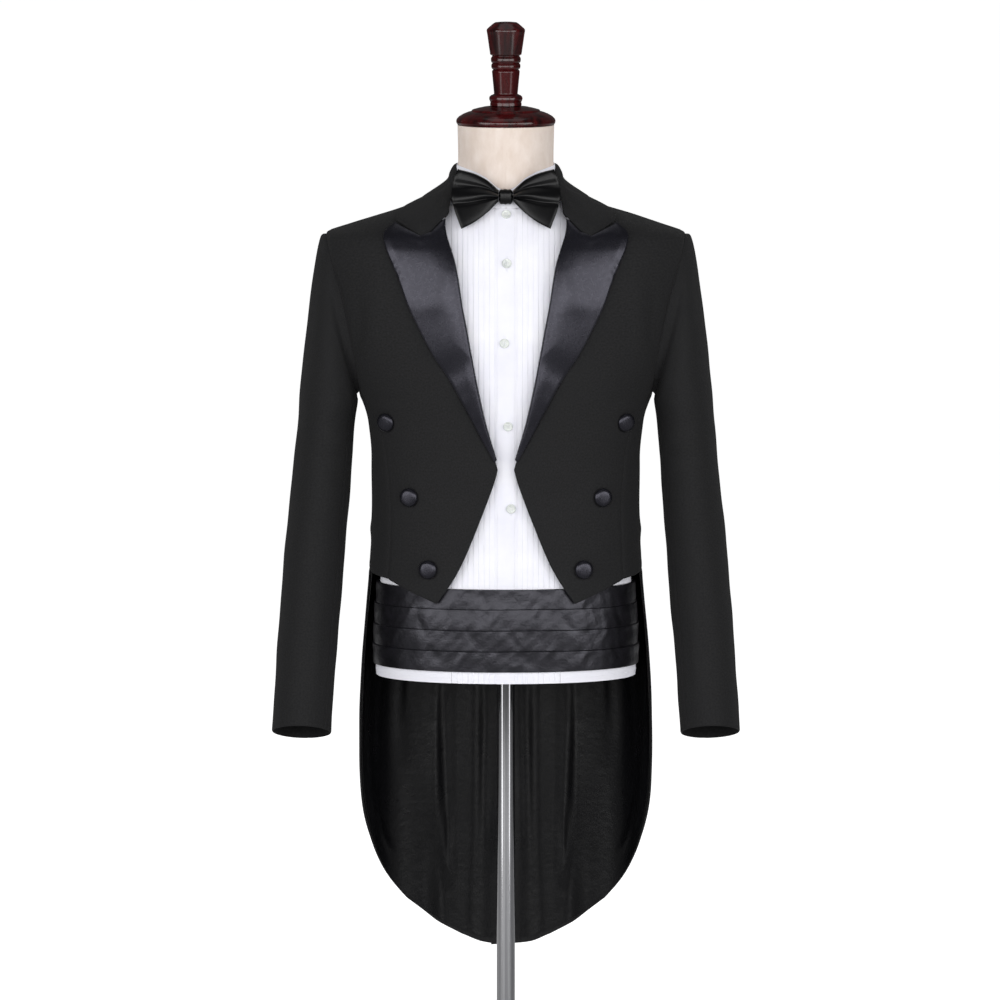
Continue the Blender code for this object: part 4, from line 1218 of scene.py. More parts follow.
# Up the seam between skirt and back strip
pleat_seam = partial(
    spread, [(157.0, TAIL_HEM[-1][1]), (156.0, 0.6), (154.5, 0.76), (BACK_SEAM, WAIST_BACK)]
)


# Along the waist seam, from the tail's front edge to the back seam
waist_seam = partial(
    spread, [(TAIL_FRONT, WAIST_SIDE), (112.0, 0.922), (132.0, 0.93), (BACK_SEAM, WAIST_BACK)]
)


# The front's folds: the dart, the drape below the armhole, and the pull at the buttons
FRONT_FOLDS = creases(
    COAT.on_front, (0.0026, -0.0009, (0.137, 1.085), (0.1375, 1.0), (0.14, 0.913)),
    (0.011, -0.0018, (0.163, 1.135), (0.156, 1.085), (0.15, 1.03), (0.15, 0.97)),
    (0.0045, 0.0013, (0.118, 1.119), (0.14, 1.118), (0.161, 1.109)),
    (0.005, -0.001, (0.123, 1.127), (0.143, 1.129), (0.165, 1.123)),
    (0.005, 0.0008, (0.096, 1.024), (0.113, 1.026), (0.133, 1.023)),
    (0.01, 0.001, (0.056, 0.97), (0.09, 0.948), (0.14, 0.952)),
    (0.011, -0.0012, (0.02, 1.035), (0.06, 1.018), (0.105, 1.022)),
    (0.014, 0.0016, (0.175, 1.16), (0.16, 1.2), (0.156, 1.26), (0.162, 1.305)),
    (0.008, -0.0014, (0.182, 1.17), (0.173, 1.22), (0.176, 1.27)),
)
# The back's folds: the drag across the shoulder blades and the creases above the waist
BACK_FOLDS = creases(
    COAT.on_back, (0.013, 0.0018, (0.175, 1.21), (0.13, 1.235), (0.07, 1.245)),
    (0.01, -0.0015, (0.17, 1.185), (0.12, 1.205), (0.06, 1.212)),
    (0.007, 0.0012, (0.006, 0.97), (0.04, 0.962), (0.075, 0.97)),
    (0.006, -0.0011, (0.01, 0.99), (0.035, 0.984), (0.062, 0.992)),
    (0.011, 0.0012, (0.02, 1.355), (0.07, 1.338), (0.12, 1.325)),
    (0.008, 0.0016, (0.025, 0.9), (0.024, 0.75), (0.028, 0.56)),
)
# The side body's folds: soft creases that run down from under the arm, and across the waist
SIDE_FOLDS = creases(
    list, (0.009, -0.0018, (84.0, 1.125), (92.0, 1.08), (98.0, 1.01)),
    (0.008, 0.0016, (100.0, 1.13), (108.0, 1.085), (112.0, 1.02)),
    (0.008, -0.0015, (118.0, 1.12), (126.0, 1.07), (128.0, 1.01)),
    (0.007, 0.0014, (80.0, 0.975), (100.0, 0.962), (128.0, 0.97)),
    (0.006, -0.0012, (86.0, 0.95), (108.0, 0.945), (140.0, 0.955)),
)
# The skirt's smaller creases, between the tails' main folds
SKIRT_FOLDS = creases(
    list, (0.007, 0.0014, (99.0, 0.9), (101.0, 0.78), (100.0, 0.68)),
    (0.007, -0.0016, (114.0, 0.89), (115.0, 0.8), (113.0, 0.65)),
    (0.006, 0.0014, (130.0, 0.9), (131.0, 0.82), (129.0, 0.72)),
    (0.006, -0.0014, (143.5, 0.905), (144.0, 0.8), (142.0, 0.56)),
)
# Where the skirt's lining hangs away from the cloth, into the tail: long slanting ridges
LINING_FOLDS = creases(
    COAT.on_back,
    (0.016, -0.0052, (0.05, 0.8), (0.052, 0.69), (0.05, 0.59), (0.056, 0.5)),
    (0.014, -0.0047, (0.088, 0.73), (0.086, 0.64), (0.078, 0.57), (0.06, 0.508)),
    (0.005, 0.002, (0.069, 0.61), (0.069, 0.56), (0.059, 0.51)),
) + creases(
    list,
    (0.014, -0.003, (101.0, 0.76), (105.0, 0.64), (116.0, 0.575)),
    (0.006, -0.002, (111.0, 0.64), (117.0, 0.59), (124.0, 0.56)),
    (0.012, -0.0022, (127.0, 0.84), (127.0, 0.74), (129.0, 0.66)),
)
# Where the back strip's lining hangs away from the cloth
STRIP_FOLDS = creases(
    list, (0.011, -0.0022, (164.0, 0.88), (163.0, 0.74), (164.0, 0.6), (162.0, 0.5)),
    (0.008, -0.0016, (171.0, 0.7), (172.0, 0.6), (170.0, 0.52)),
)
@dataclass
class CoatBody:
    """The coat's fronts, side bodies, backs and skirts, and the linings that show inside the tails."""

    # Cells for each cell of the solids
    cells: int = 7
    wear: Sheet = field(default_factory=lambda: Sheet("hung", ("form_torso",)))

    def front(self) -> Points:
        """Gives the forepart's stations, from its cut edge and roll line to its side seam and armhole."""
        n = self.cells
        tucked = [(x + ROLL_TUCK, z) for x, z in ROLL_LINE_UPPER]
        rolled = [(x + ROLL_TUCK, z) for x, z in ROLL_LINE[1:3]]
        lower = spread(COAT.on_front(FRONT_CUT), 5 * n)
        middle = spread(COAT.on_front([FRONT_CUT[-1], *rolled]), 3 * n)
        upper = spread(COAT.on_front([rolled[-1], *tucked[:-1]]), 4 * n)
        throat = spread([*COAT.on_front(tucked[-2:-1]), *NECK_EDGE], (ROWS_ARM - 4) * n)
        left = joined(lower, middle, upper, throat)
        arm = armhole_run(FRONT_SEAM_TOP, SHOULDER_TIP, ROWS_ARM * n, False)
        seam = front_seam(ROWS_SEAM * n)
        seam[:, 0] += (arm[0, 0] - seam[-1, 0]) * ease((seam[:, 1] - 1.07) / (FRONT_SEAM_TOP - 1.07))
        right = joined(seam, arm)
        bottom = spread([left[0], *COAT.on_front([(0.118, 0.9005)]), right[0]], FRONT_COLUMNS * n)
        top = spread([left[-1], right[-1]], FRONT_COLUMNS * n)
        return with_close_edges(patch(bottom, top, left, right))

    def side_body(self) -> Points:
        """Gives the side body's stations, between the front seam and the back seam, under the arm."""
        n = self.cells
        left, right = front_seam(ROWS_SEAM * n), back_seam(ROWS_SEAM * n)
        floor = armhole_floor(SIDE_COLUMNS * n)
        left[:, 0] += (floor[0, 0] - left[-1, 0]) * ease((left[:, 1] - 1.07) / (FRONT_SEAM_TOP - 1.07))
        hem = spread([left[0], (TAIL_FRONT, WAIST_SIDE)], 2 * n)
        bottom = joined(hem, waist_seam((SIDE_COLUMNS - 2) * n))
        return with_close_edges(patch(bottom, floor, left, right))

    def back(self, vent_turn: float) -> Points:
        """Gives the back's stations, cut in one with the strip that runs down the tail to the hem.

        Args:
            vent_turn: The turn of the vent's edge.

        Returns:
            The stations, [row, column] of turn and height.
        """
        n = self.cells
        vent = spread([(vent_turn, HEM), (vent_turn, 0.7), (vent_turn, 0.915)], (ROWS_TAIL - 1) * n)
        vent = joined(vent, spread([vent[-1], (180.0, WAIST_BACK)], n))
        centre = spread([(180.0, WAIST_BACK), (180.0, 1.2)], ROWS_SEAM * n)
        neck = [(180.0, 1.2), (180.0, 1.32), (180.0, NECK_BACK), (140.0, NECK_BACK), (90.0, NECK_SIDE)]
        arm = armhole_run(BACK_SEAM_TOP, SHOULDER_TIP, ROWS_ARM * n, True)
        right = joined(pleat_seam(ROWS_TAIL * n), back_seam(ROWS_SEAM * n), arm)
        left = joined(vent, centre, spread(neck, ROWS_ARM * n))
        bottom = spread([left[0], (168.0, HEM + 0.0045), right[0]], BACK_COLUMNS * n)
        top = spread([left[-1], right[-1]], BACK_COLUMNS * n)
        return patch(bottom, top, left, right)

    def skirt(self) -> Points:
        """Gives the skirt's stations, from its rounded front edge to the pleat seam."""
        n = self.cells
        left = spread(TAIL_EDGE[::-1], ROWS_TAIL * n)
        bottom = spread(TAIL_HEM, SKIRT_COLUMNS * n)
        return patch(bottom, waist_seam(SKIRT_COLUMNS * n), left, pleat_seam(ROWS_TAIL * n))

    def lap_lift(self, stations: Points) -> Points:
        """Says how far the left tail stands out near the centre, where it laps over the right one."""
        near = ease((stations[..., 0] - 172.0) / 6.0)
        return LAP_LIFT * near * ease((VENT_TOP - stations[..., 1]) / 0.02)

    def build(self) -> None:
        """Builds the panels and their linings."""
        wool = {"body": COAT, "finish": WORSTED, "sheet": self.wear, "thick": WOOL}
        open_below = {**wool, "seams": "top right", "turned": "bottom left"}
        lining = {"body": COAT, "finish": ACETATE, "thick": LINING, "waver": 0.0}
        margin = HEM_MARGIN * self.cells
        BodyCloth("front", **open_below, folds=FRONT_FOLDS).build(self.front())
        BodyCloth("side_body", **wool, folds=SIDE_FOLDS).build(self.side_body())
        skirt = self.skirt()
        rows, columns = skirt.shape[:2]
        BodyCloth("skirt", **open_below, folds=SKIRT_FOLDS).build(with_close_edges(skirt))
        inner = read_grid(
            skirt, np.linspace(margin, rows - 1, rows), np.linspace(margin, columns - 1, columns)
        )
        hung = Sheet("hung", ("skirt_left", "skirt_right"))
        folds = SKIRT_FOLDS + LINING_FOLDS
        BodyCloth(
            "skirt_lining", **lining, sheet=hung, folds=folds, seams="top right"
        ).build(with_close_edges(inner), -WOOL - LAY_GAP)
        for side, vent_turn, laps in (("left", 180.0 + VENT_LAP, 1), ("right", 180.0, 0)):
            stations = self.back(vent_turn)
            fine = with_close_edges(stations)
            BodyCloth("back", **open_below, folds=BACK_FOLDS).build(fine, laps * self.lap_lift(fine), side)
            tail, columns = ROWS_TAIL * self.cells, stations.shape[1] - 1
            rows = np.linspace(margin, tail, tail + 1)
            inner = with_close_edges(read_grid(stations, rows, np.linspace(margin, columns, columns + 1)))
            under = laps * self.lap_lift(inner) - WOOL - LAY_GAP
            hung = Sheet("hung", ("back_" + side,))
            folds = BACK_FOLDS + STRIP_FOLDS
            BodyCloth(
                "strip_lining", **lining, sheet=hung, folds=folds, seams="right"
            ).build(inner, under, side)


def lapel_folds() -> tuple[Fold, ...]:
    """Lists the lapel's creases: at the peak, along the gorge seam, and the soft breaks across it."""
    puckers = []
    for number in range(PUCKERS):
        share = (number + 0.5) / PUCKERS
        x, z = (start + (end - start) * share for start, end in zip(PUCKER_START, GORGE))
        run = PUCKER_RUN * (0.7 + 0.5 * math.sin(2.4 * number) ** 2)
        puckers.append((0.0013, 0.0008, (x, z - 0.002), (x - 0.001, z - 0.002 - run)))
    return creases(
        COAT.on_front, (0.0022, 0.0008, (0.124, 1.296), (0.13, 1.29), (0.135, 1.282)),
        (0.002, -0.0007, (0.123, 1.288), (0.1285, 1.281), (0.132, 1.274)),
        (0.0022, 0.0006, (0.118, 1.283), (0.124, 1.274), (0.1275, 1.268)),
        (0.0165, -0.0032, (0.042, 1.185), (0.064, 1.165), (0.09, 1.155)),
        (0.007, 0.0008, (0.039, 1.142), (0.051, 1.126), (0.062, 1.138)),
        (0.006, -0.0006, (0.03, 1.108), (0.039, 1.098), (0.047, 1.106)),
        (0.012, 0.001, (0.064, 1.29), (0.076, 1.255), (0.098, 1.24)), *puckers,
    )


@dataclass
class Lapels:
    """The satin lapels, turned back from the roll line over the fronts."""

    rows: int = 10
    columns: int = 8
    row_cells: int = 11
    column_cells: int = 6
    # How far the cloth stands up behind the roll line
    bulge: float = 0.0035

    def stations(self) -> Points:
        """Gives the lapel's stations, from the roll line on one side to its outer edge on the other."""
        rows, columns = self.rows * self.row_cells, self.columns * self.column_cells
        roll = spread(COAT.on_front(ROLL_LINE + ROLL_LINE_UPPER[1:]), rows)
        edge = spread(COAT.on_front(LAPEL_EDGE), rows)
        bottom = spread([roll[0], edge[0]], columns)
        corners = [roll[-1], *COAT.on_front([GORGE_BEND, GORGE, NOTCH]), edge[-1]]
        top = read_grid(
            np.array(corners)[None].repeat(2, 0), np.zeros(1), np.linspace(0, 4, columns + 1)
        )[0]
        return patch(bottom, top, roll, edge)

    def build(self) -> None:
        """Builds both lapels."""
        grid = self.stations()
        at_rows, at_columns = close_edges(grid.shape[0]), close_edges(grid.shape[1])
        share = (at_columns / at_columns[-1])[None, :]
        up = (at_rows / at_rows[-1])[:, None]
        roll = self.bulge * np.sin(math.pi * np.clip(share, 0, 1) ** 0.6) * ease(up / 0.25)
        lift = 0.001 + 0.0026 * share**0.7 * ease(up / 0.7) + roll + SATIN
        lapel = BodyCloth(
            "lapel", COAT, DUCHESSE, Sheet("folded", ("front_left", "front_right")), SATIN, seams="top",
            turned="bottom left right", folds=lapel_folds(), waver=0.0003,
        )
        lapel.build(read_grid(grid, at_rows, at_columns), lift)


@dataclass(frozen=True)
class CollarStation:
    """A place along the collar: its seam, the fold along its top, and the edge of its fall."""

    seam_turn: float
    seam_height: float
    fold_height: float
    edge_turn: float
    edge_height: float


@dataclass
class CoatCollar:
    """The coat's collar, a stand and a fall in one, from one gorge round the neck to the other."""

    stations: tuple[CollarStation, ...] = tuple(
        CollarStation(*row) for row in (
            (43.5, 1.3455, 1.35, 64.2, 1.3386), (54.0, 1.3556, 1.368, 74.5, 1.3485),
            (66.0, 1.3648, 1.385, 84.0, 1.3565), (78.0, 1.3722, 1.3965, 91.0, 1.361),
            (92.0, NECK_SIDE + 0.0012, 1.401, 99.0, 1.361), (122.0, 1.3797, 1.403, 124.0, 1.359),
            (150.0, NECK_BACK + 0.0012, 1.404, 151.0, 1.3575),
            (180.0, NECK_BACK + 0.0012, 1.4045, 180.0, 1.357),
        )
    )
    wall: float = 0.0015
    half: int = 11
    row_cells: int = 6
    column_cells: int = 7

    def build(self) -> None:
        """Builds the collar."""
        index = np.arange(len(self.stations))
        where = np.linspace(0, len(self.stations) - 1, self.half + 1)
        columns = zip(*(astuple(station) for station in self.stations))
        turn, seam, fold, edge_turn, edge = (smooth_curve(index, column)(where) for column in columns)
        front = np.clip(1 - np.arange(self.half + 1) / 2, 0, 1)
        gorge = {0.5: (GORGE, 0.6), 0.2: (GORGE_BEND, 0.9)}
        rows = []
        for share, lift in ((1.0, 0.0027), (0.5, 0.0039), (0.2, 0.003)):
            turns = turn + (edge_turn - turn) * share
            heights = fold + (edge - fold) * share
            if share in gorge:
                (x, dip), aside = gorge[share]
                turns = turns + (float(COAT.turn_at(x, dip)) + aside - turns) * front
                heights = heights + (dip + 0.0014 - heights) * front
            rows.append((turns, heights, lift + self.wall, heights, lift))
        rows.append((turn, fold - 0.0015, 0.001 + self.wall, fold - 0.0015, 0.001))
        rows.append((turn, fold + 0.0012, 0.0, fold - 0.0004, 0.0))
        for height in (fold - 0.0018, seam + 0.0002):
            rows.append((turn, height, -0.0004 - self.wall, height, -0.0004))
        visible = np.array([COAT.point(turns, height, out) for turns, height, out, _, _ in rows])
        hidden = np.array([COAT.point(turns, height, out) for turns, _, _, height, out in rows])
        grids = []
        for grid in (visible, hidden):
            whole = np.concatenate([on_side(grid, "right"), grid[:, -2::-1]], axis=1)
            grids.append(with_close_edges(refined(refined(whole, self.column_cells, 1), self.row_cells, 0)))
        outer, inner = grids
        facing = unit(outer - inner)
        outer = outer + facing * edge_relief(outer, "top", "bottom left right")[..., None] * THIN_EDGE
        cloth_piece("collar", outer, inner, WORSTED)


@dataclass(frozen=True)
class SleeveRing:
    """A ring of the sleeve below the armhole: its outer and inner point from the front, half its depth, its
    middle's place from front to back, and its forward tilt in degrees."""

    outer_x: float
    outer_z: float
    inner_x: float
    inner_z: float
    half_depth: float
    middle_y: float
    tilt: float

    def points(self, angle: Points, inside: float) -> Points:
        """Gives points round the ring.

        Args:
            angle: Their angles: 0 is its outer side, 90 its front and 180 next to the body.
            inside: How far inside it they are.

        Returns:
            The points, one a row.
        """
        outer = np.array([self.outer_x, 0.0, self.outer_z])
        inner = np.array([self.inner_x, 0.0, self.inner_z])
        middle = (outer + inner) / 2 + np.array([0.0, self.middle_y, 0.0])
        half = np.linalg.norm(outer - inner) / 2
        out = (outer - inner) / (2 * half)
        tilt = math.radians(self.tilt)
        forward = np.array([0.0, -math.cos(tilt), math.sin(tilt)])
        c, s = np.cos(np.radians(angle)), np.sin(np.radians(angle))
        across, along = c * (half - inside), s * (self.half_depth - inside)
        return middle + across[:, None] * out + along[:, None] * forward


# The sleeve's creases, as (angle, share of its length from the cuff)
SLEEVE_FOLDS = creases(
    list, (0.0075, -0.0016, (60.0, 0.505), (100.0, 0.49), (150.0, 0.51)),
    (0.007, 0.0016, (80.0, 0.54), (120.0, 0.53), (165.0, 0.55)),
    (0.007, -0.0015, (95.0, 0.455), (135.0, 0.44), (172.0, 0.455)),
    (0.01, 0.0012, (70.0, 0.6), (110.0, 0.64), (160.0, 0.7)),
    (0.01, -0.0018, (120.0, 0.76), (100.0, 0.82), (70.0, 0.9)),
    (0.009, 0.0018, (150.0, 0.7), (135.0, 0.8), (115.0, 0.9)),
    (0.011, -0.0012, (30.0, 0.94), (34.0, 0.86), (40.0, 0.76)),
    (0.011, -0.0014, (330.0, 0.93), (325.0, 0.84), (318.0, 0.74)),
    (0.008, 0.0018, (250.0, 0.5), (220.0, 0.52), (190.0, 0.5)),
    (0.008, -0.0016, (260.0, 0.54), (235.0, 0.56), (200.0, 0.545)),
    (0.009, 0.0016, (240.0, 0.76), (225.0, 0.83), (205.0, 0.9)),
    (0.007, 0.001, (110.0, 0.2), (114.0, 0.12), (110.0, 0.05)),
    (0.009, -0.0012, (290.0, 0.3), (296.0, 0.18), (292.0, 0.08)),
)
@dataclass
class Sleeves:
    """The sleeves, each of a top and an under half, from the armhole down to the cuff."""

    rings: tuple[SleeveRing, ...] = tuple(
        SleeveRing(*row) for row in (
            (0.2222, 1.3158, 0.1785, 1.1275, 0.0545, 0.002, 0.0),
            (0.229, 1.284, 0.1782, 1.1255, 0.0595, 0.002, 0.0),
            (0.2375, 1.22, 0.1779, 1.1228, 0.063, 0.002, 0.0),
            (0.2465, 1.14, 0.1778, 1.118, 0.062, 0.003, 0.0),
            (0.25, 1.096, 0.1812, 1.09, 0.0605, 0.004, 0.0),
            (0.2565, 1.03, 0.186, 1.026, 0.0585, 0.004, 2.0),
            (0.265, 0.95, 0.1922, 0.948, 0.0555, -0.003, 6.5),
            (0.2712, 0.87, 0.1985, 0.868, 0.053, -0.015, 11.0),
            (0.2762, 0.798, 0.2045, 0.796, 0.0505, -0.031, 14.0),
            (0.28, 0.7268, 0.2088, 0.725, 0.049, -0.05, 16.0),
        )
    )
    front_station: int = 7
    hind_station: int = 6
    round_cells: int = 6
    down_cells: int = 13
    waver: float = 0.0009
    waver_length: float = 0.16

    def loop(self) -> tuple[Points, Points]:
        """Gives the stations round the armhole, down its front and up its back, and each one's angle."""
        n = self.round_cells
        front = armhole_run(FRONT_SEAM_TOP, SHOULDER_TIP, ROWS_ARM * n, False)[::-1]
        back = armhole_run(BACK_SEAM_TOP, SHOULDER_TIP, ROWS_ARM * n, True)
        loop = joined(front, armhole_floor(SIDE_COLUMNS * n), back)
        middle, half = (ARMPIT + SHOULDER_TIP) / 2, (SHOULDER_TIP - ARMPIT) / 2
        angle = np.degrees(np.arccos(np.clip((loop[:, 1] - middle) / half, -1, 1)))
        hind = np.arange(len(loop)) > loop[:, 1].argmin()
        angle = np.where(hind, 360 - angle, angle)
        angle[-1] = 360.0
        return loop, angle

    def armhole_ring(self, stations: Points, inside: float) -> Points:
        """Gives the sleeve's first ring, a small gap inside the armhole."""
        made = COAT.point(stations[:, 0], stations[:, 1], -inside)
        toward = unit(np.stack([-made[:, 1], (ARMPIT + SHOULDER_TIP) / 2 - made[:, 2]], axis=-1))
        made[:, 1:] += SLEEVE_GAP * toward
        return made

    def grid(self, loop: Points, angle: Points, inside: float) -> Points:
        """Gives the points of part of the sleeve, from the cuff up, at its face or that far inside it."""
        rows = [self.armhole_ring(loop, inside)] + [ring.points(angle, inside) for ring in self.rings]
        return refined(np.array(rows)[::-1], self.down_cells, 0)

    def place(self, at: Points) -> Points:
        """Turns (angle, share of the length from the cuff) into points of the sleeve's face."""
        where = (1 - at[..., 1]) * (len(self.rings) - 1)
        low = np.clip(np.floor(where).astype(int), 0, len(self.rings) - 2)
        above, below = (
            np.array(
                [self.rings[i + down].points(a[None], 0.0)[0] for i, a in zip(low, at[..., 0])]
            ) for down in (0, 1)
        )
        return above + (below - above) * (where - low)[:, None]

    def build(self) -> None:
        """Builds the four sleeve halves."""
        loop, angle = self.loop()
        n = self.round_cells
        front, hind = self.front_station * n, len(loop) - 1 - self.hind_station * n
        top = np.r_[hind : len(loop) - 1, 0 : front + 1]
        for name, chosen in (("top_sleeve", top), ("under_sleeve", np.arange(front, hind + 1))):
            face = with_close_edges(self.grid(loop[chosen], angle[chosen], 0.0))
            back = with_close_edges(self.grid(loop[chosen], angle[chosen], WOOL))
            folded = fold_relief(face, SLEEVE_FOLDS, self.place)
            normal = unit(face - back)
            # The head of the sleeve keeps its seam with the armhole, so its folds fade out there
            fade = ease(edge_distances(face)["top"] / 0.02)
            sink = edge_relief(face, "top left right", "bottom")[..., None] * normal
            for side in SIDES:
                uneven = unevenness(on_side(face, side), self.waver, self.waver_length)
                lift = ((folded + uneven) * fade)[..., None] * normal
                outer, inner = on_side(face + lift + sink, side), on_side(back + lift, side)
                cloth_piece(f"{name}_{side}", outer, inner, WORSTED)


@dataclass
class CoatButtons:
    """The six satin-covered buttons, three down each front."""

    places: tuple[Place, ...] = ((0.141, 1.101), (0.114, 1.012), (0.0918, 0.9265))
    profile: tuple[Place, ...] = (
        (0.0, 6.0), (4.0, 5.9), (7.2, 5.6), (9.2, 4.7), (10.6, 3.3), (11.3, 1.8), (11.2, 0.8), (10.4, 0.2),
        (8.8, 0.0), (3.4, -0.2), (3.0, -3.0), (0.0, -3.0),
    )

    def build(self) -> None:
        """Builds the buttons, each facing out of the front, with the gathers of its cover at the rim."""
        for side, sign in SIDES.items():
            for number, (x, height) in enumerate(self.places, 1):
                turn = sign * float(COAT.turn_at(x, height))
                seat = COAT.point(turn, height, 0.0026)
                facing = unit(COAT.point(turn, height, 0.0126) - seat) + np.array([0.0, -0.55, 0.0])
                turned_piece(
                    f"coat_button_{side}_{number}", self.profile, DUCHESSE, 26, 48, seat, facing, 14.0,
                    0.004,
                )


# The shirt's curves: where its collar is sewn on, and the collar's top edge
SHIRT_NECK = smooth_curve((0.0, 30.0, 60.0, 90.0, 180.0), (1.3535, 1.356, 1.362, 1.3675, 1.37))
COLLAR_TOP = smooth_curve(
    (0.0, 8.0, 24.0, 42.0, 68.0, 90.0, 180.0), (1.3768, 1.379, 1.3915, 1.399, 1.403, 1.404, 1.411)
)
SHIRT_SHOULDER, COLLAR_LAY = (90.0, 1.3275), 0.0006
SHIRT_ARMHOLE = ((0.152, 1.18), (0.147, 1.24), (0.143, 1.3))


@dataclass
class DressShirt:
    """The white dress shirt: pleated bib, plain sides, back, placket and stand collar."""

    rows: int = 130
    # Places across a pleat, from its root to its fold
    pleat_shares: tuple[float, ...] = (0.0, 0.25, 0.5, 0.72, 0.86, 0.93)
    buttons: tuple[Place, ...] = (
        (0.0005, 1.347), (0.001, 1.2915), (-0.0018, 1.199), (0.0025, 1.0995), (0.006, 1.0)
    )
    button_profile: tuple[Place, ...] = (
        (0.0, 1.3), (3.4, 1.3), (4.0, 1.6), (4.5, 2.2), (5.0, 2.3), (5.5, 1.9), (5.7, 1.2), (5.6, 0.6),
        (4.8, 0.1), (0.0, 0.1),
    )
    wear: Sheet = field(default_factory=lambda: Sheet("hung", ("form_torso",)))

    def wall(
        self, node: str, stations: Points, rise: Points = 0.0, turned: str = "bottom",
        lay: float = SHIRT_LAY, sides: Sequence[str] = ("",),
    ) -> None:
        """Builds a wall of shirting on the form.

        Args:
            node: The solid's name, without its side.
            stations: Its stations.
            rise: How far its face stands out beyond its plain thickness.
            turned: The names of its turned edges.
            lay: How far its back stands out of the form.
            sides: The sides that it is built on, or an empty name where it has none.
        """
        plain = FORM.at(stations)
        face = lay + SHIRTING + rise + edge_relief(plain, "", turned) * THIN_EDGE
        for side in sides:
            outer, inner = (on_side(FORM.at(stations, out), side or "left") for out in (face, lay))
            name = f"{node}_{side}" if side else node
            cloth_piece(name, outer, inner, POPLIN, FORM.grain(stations))

    def bib_columns(self) -> tuple[Points, Points]:
        """Gives the columns across one side of the bib, as x, and how far each stands out."""
        edges = np.linspace(PLACKET_HALF, BIB_HALF, PLEATS_A_SIDE + 1)
        shares = np.array(self.pleat_shares)
        step = edges[1] - edges[0]
        columns = (edges[:-1, None] + step * shares[None]).ravel()
        rise = np.tile(
            0.75 * PLEAT_RISE * np.sin(math.pi / 2 * (shares / shares[-1])) ** 1.4, PLEATS_A_SIDE
        )
        last = step * shares[-1]
        rise = np.where(columns > edges[-2] + last * 0.6, rise * 0.35, rise)
        return np.append(columns, edges[-1]), np.append(rise, 0.0)

    def build(self) -> None:
        """Builds the shirt's cloth, its seams and its buttons."""
        columns_x, risen = self.bib_columns()
        top = np.full(columns_x.shape, 1.352)
        for _ in range(8):
            top = SHIRT_NECK(FORM.turn_at(columns_x, top))
        share = np.linspace(0, 1, self.rows + 1)[:, None]
        heights = SHIRT_HEM + (top[None] - SHIRT_HEM) * share
        stations = paired(FORM.turn_at(columns_x, heights), heights)
        wave = 1 + 0.3 * np.sin(heights * 31 + columns_x * 400) * np.sin(heights * 13 + columns_x * 900)
        self.wall("shirt_bib", stations, risen[None] * wave, sides=SIDES)
        self.build_side(stations[:, -1] + np.array([0.2, 0.0]))
        self.build_back()
        self.build_placket()
        self.build_collar()
        for number in range(len(self.buttons)):
            self.build_button(number)
        self.sew()

    def side_edge(self, arm: list[Place], low: int, high: int) -> Points:
        """Gives stations up the side seam and the armhole.

        Args:
            arm: The armhole's places.
            low: The steps up the side seam.
            high: The steps up the armhole.

        Returns:
            The stations.
        """
        seam = spread([(90.0, SHIRT_HEM), (90.0, 0.96), (90.0, 1.125)], low)
        return joined(seam, spread([(90.0, 1.125), *arm, SHIRT_SHOULDER], high))

    def build_side(self, left: Points) -> None:
        """Builds the plain side of each front, from the bib's edge to the side seam and the armhole.

        Args:
            left: The stations along the bib's edge.
        """
        extra = 24
        neck_point = (90.0, float(SHIRT_NECK(90.0)))
        left = joined(left, spread([left[-1], (86.0, float(SHIRT_NECK(86.0))), neck_point], extra))
        low = 5 * len(left) // 12
        right = self.side_edge(FORM.on_front(SHIRT_ARMHOLE), low, len(left) - 1 - low)
        stations = patch(
            spread([left[0], right[0]], 28), spread([neck_point, SHIRT_SHOULDER], 28), left, right
        )
        self.wall("shirt_side", stations, sides=SIDES)

    def build_back(self) -> None:
        """Builds the back, in one piece from armhole to armhole."""
        seam = self.side_edge(FORM.on_back(SHIRT_ARMHOLE), 25, 30)
        across = np.array([360.0, 0.0]) + seam * np.array([-1.0, 1.0])
        neck_point = (90.0, float(SHIRT_NECK(90.0)))
        top = joined(
            spread([SHIRT_SHOULDER, neck_point], 16),
            spread([neck_point, (135.0, float(SHIRT_NECK(135.0))), (180.0, float(SHIRT_NECK(180.0)))], 16),
        )
        top = joined(top, (np.array([360.0, 0.0]) + top * np.array([-1.0, 1.0]))[::-1])
        bottom = spread([seam[0], across[0]], len(top) - 1)
        self.wall("shirt_back", patch(bottom, top, seam, across))

    def placket_point(self, x: Points, heights: Points, rise: float) -> Points:
        """Gives points on the placket.

        Args:
            x: How far they are from the middle, left positive.
            heights: Their heights.
            rise: How far they are above its face.

        Returns:
            The points.
        """
        turns = np.sign(x) * FORM.turn_at(x, heights)
        return FORM.point(turns, heights, SHIRT_LAY + SHIRTING + PLEAT_RISE + 0.0002 + rise)

    def build_placket(self) -> None:
        """Builds the front band that carries the buttons, slightly raised along its two rows of stitches."""
        heights = np.linspace(SHIRT_HEM, float(SHIRT_NECK(5.0)), 141)[:, None]
        x = np.linspace(-PLACKET_HALF, PLACKET_HALF, 21)
        x = np.concatenate([[x[0], x[0] + 0.0003], x[1:-1], [x[-1] - 0.0003, x[-1]]])
        at = paired(np.sign(x) * FORM.turn_at(x, heights), heights)
        swell = 0.00025 * np.cos(np.pi * x / PLACKET_HALF)
        swell = swell + 0.0002 * np.sin(heights * 60) * np.sin(heights * 23)
        self.wall("shirt_placket", at, PLEAT_RISE + 0.0002 + swell, "left right bottom")

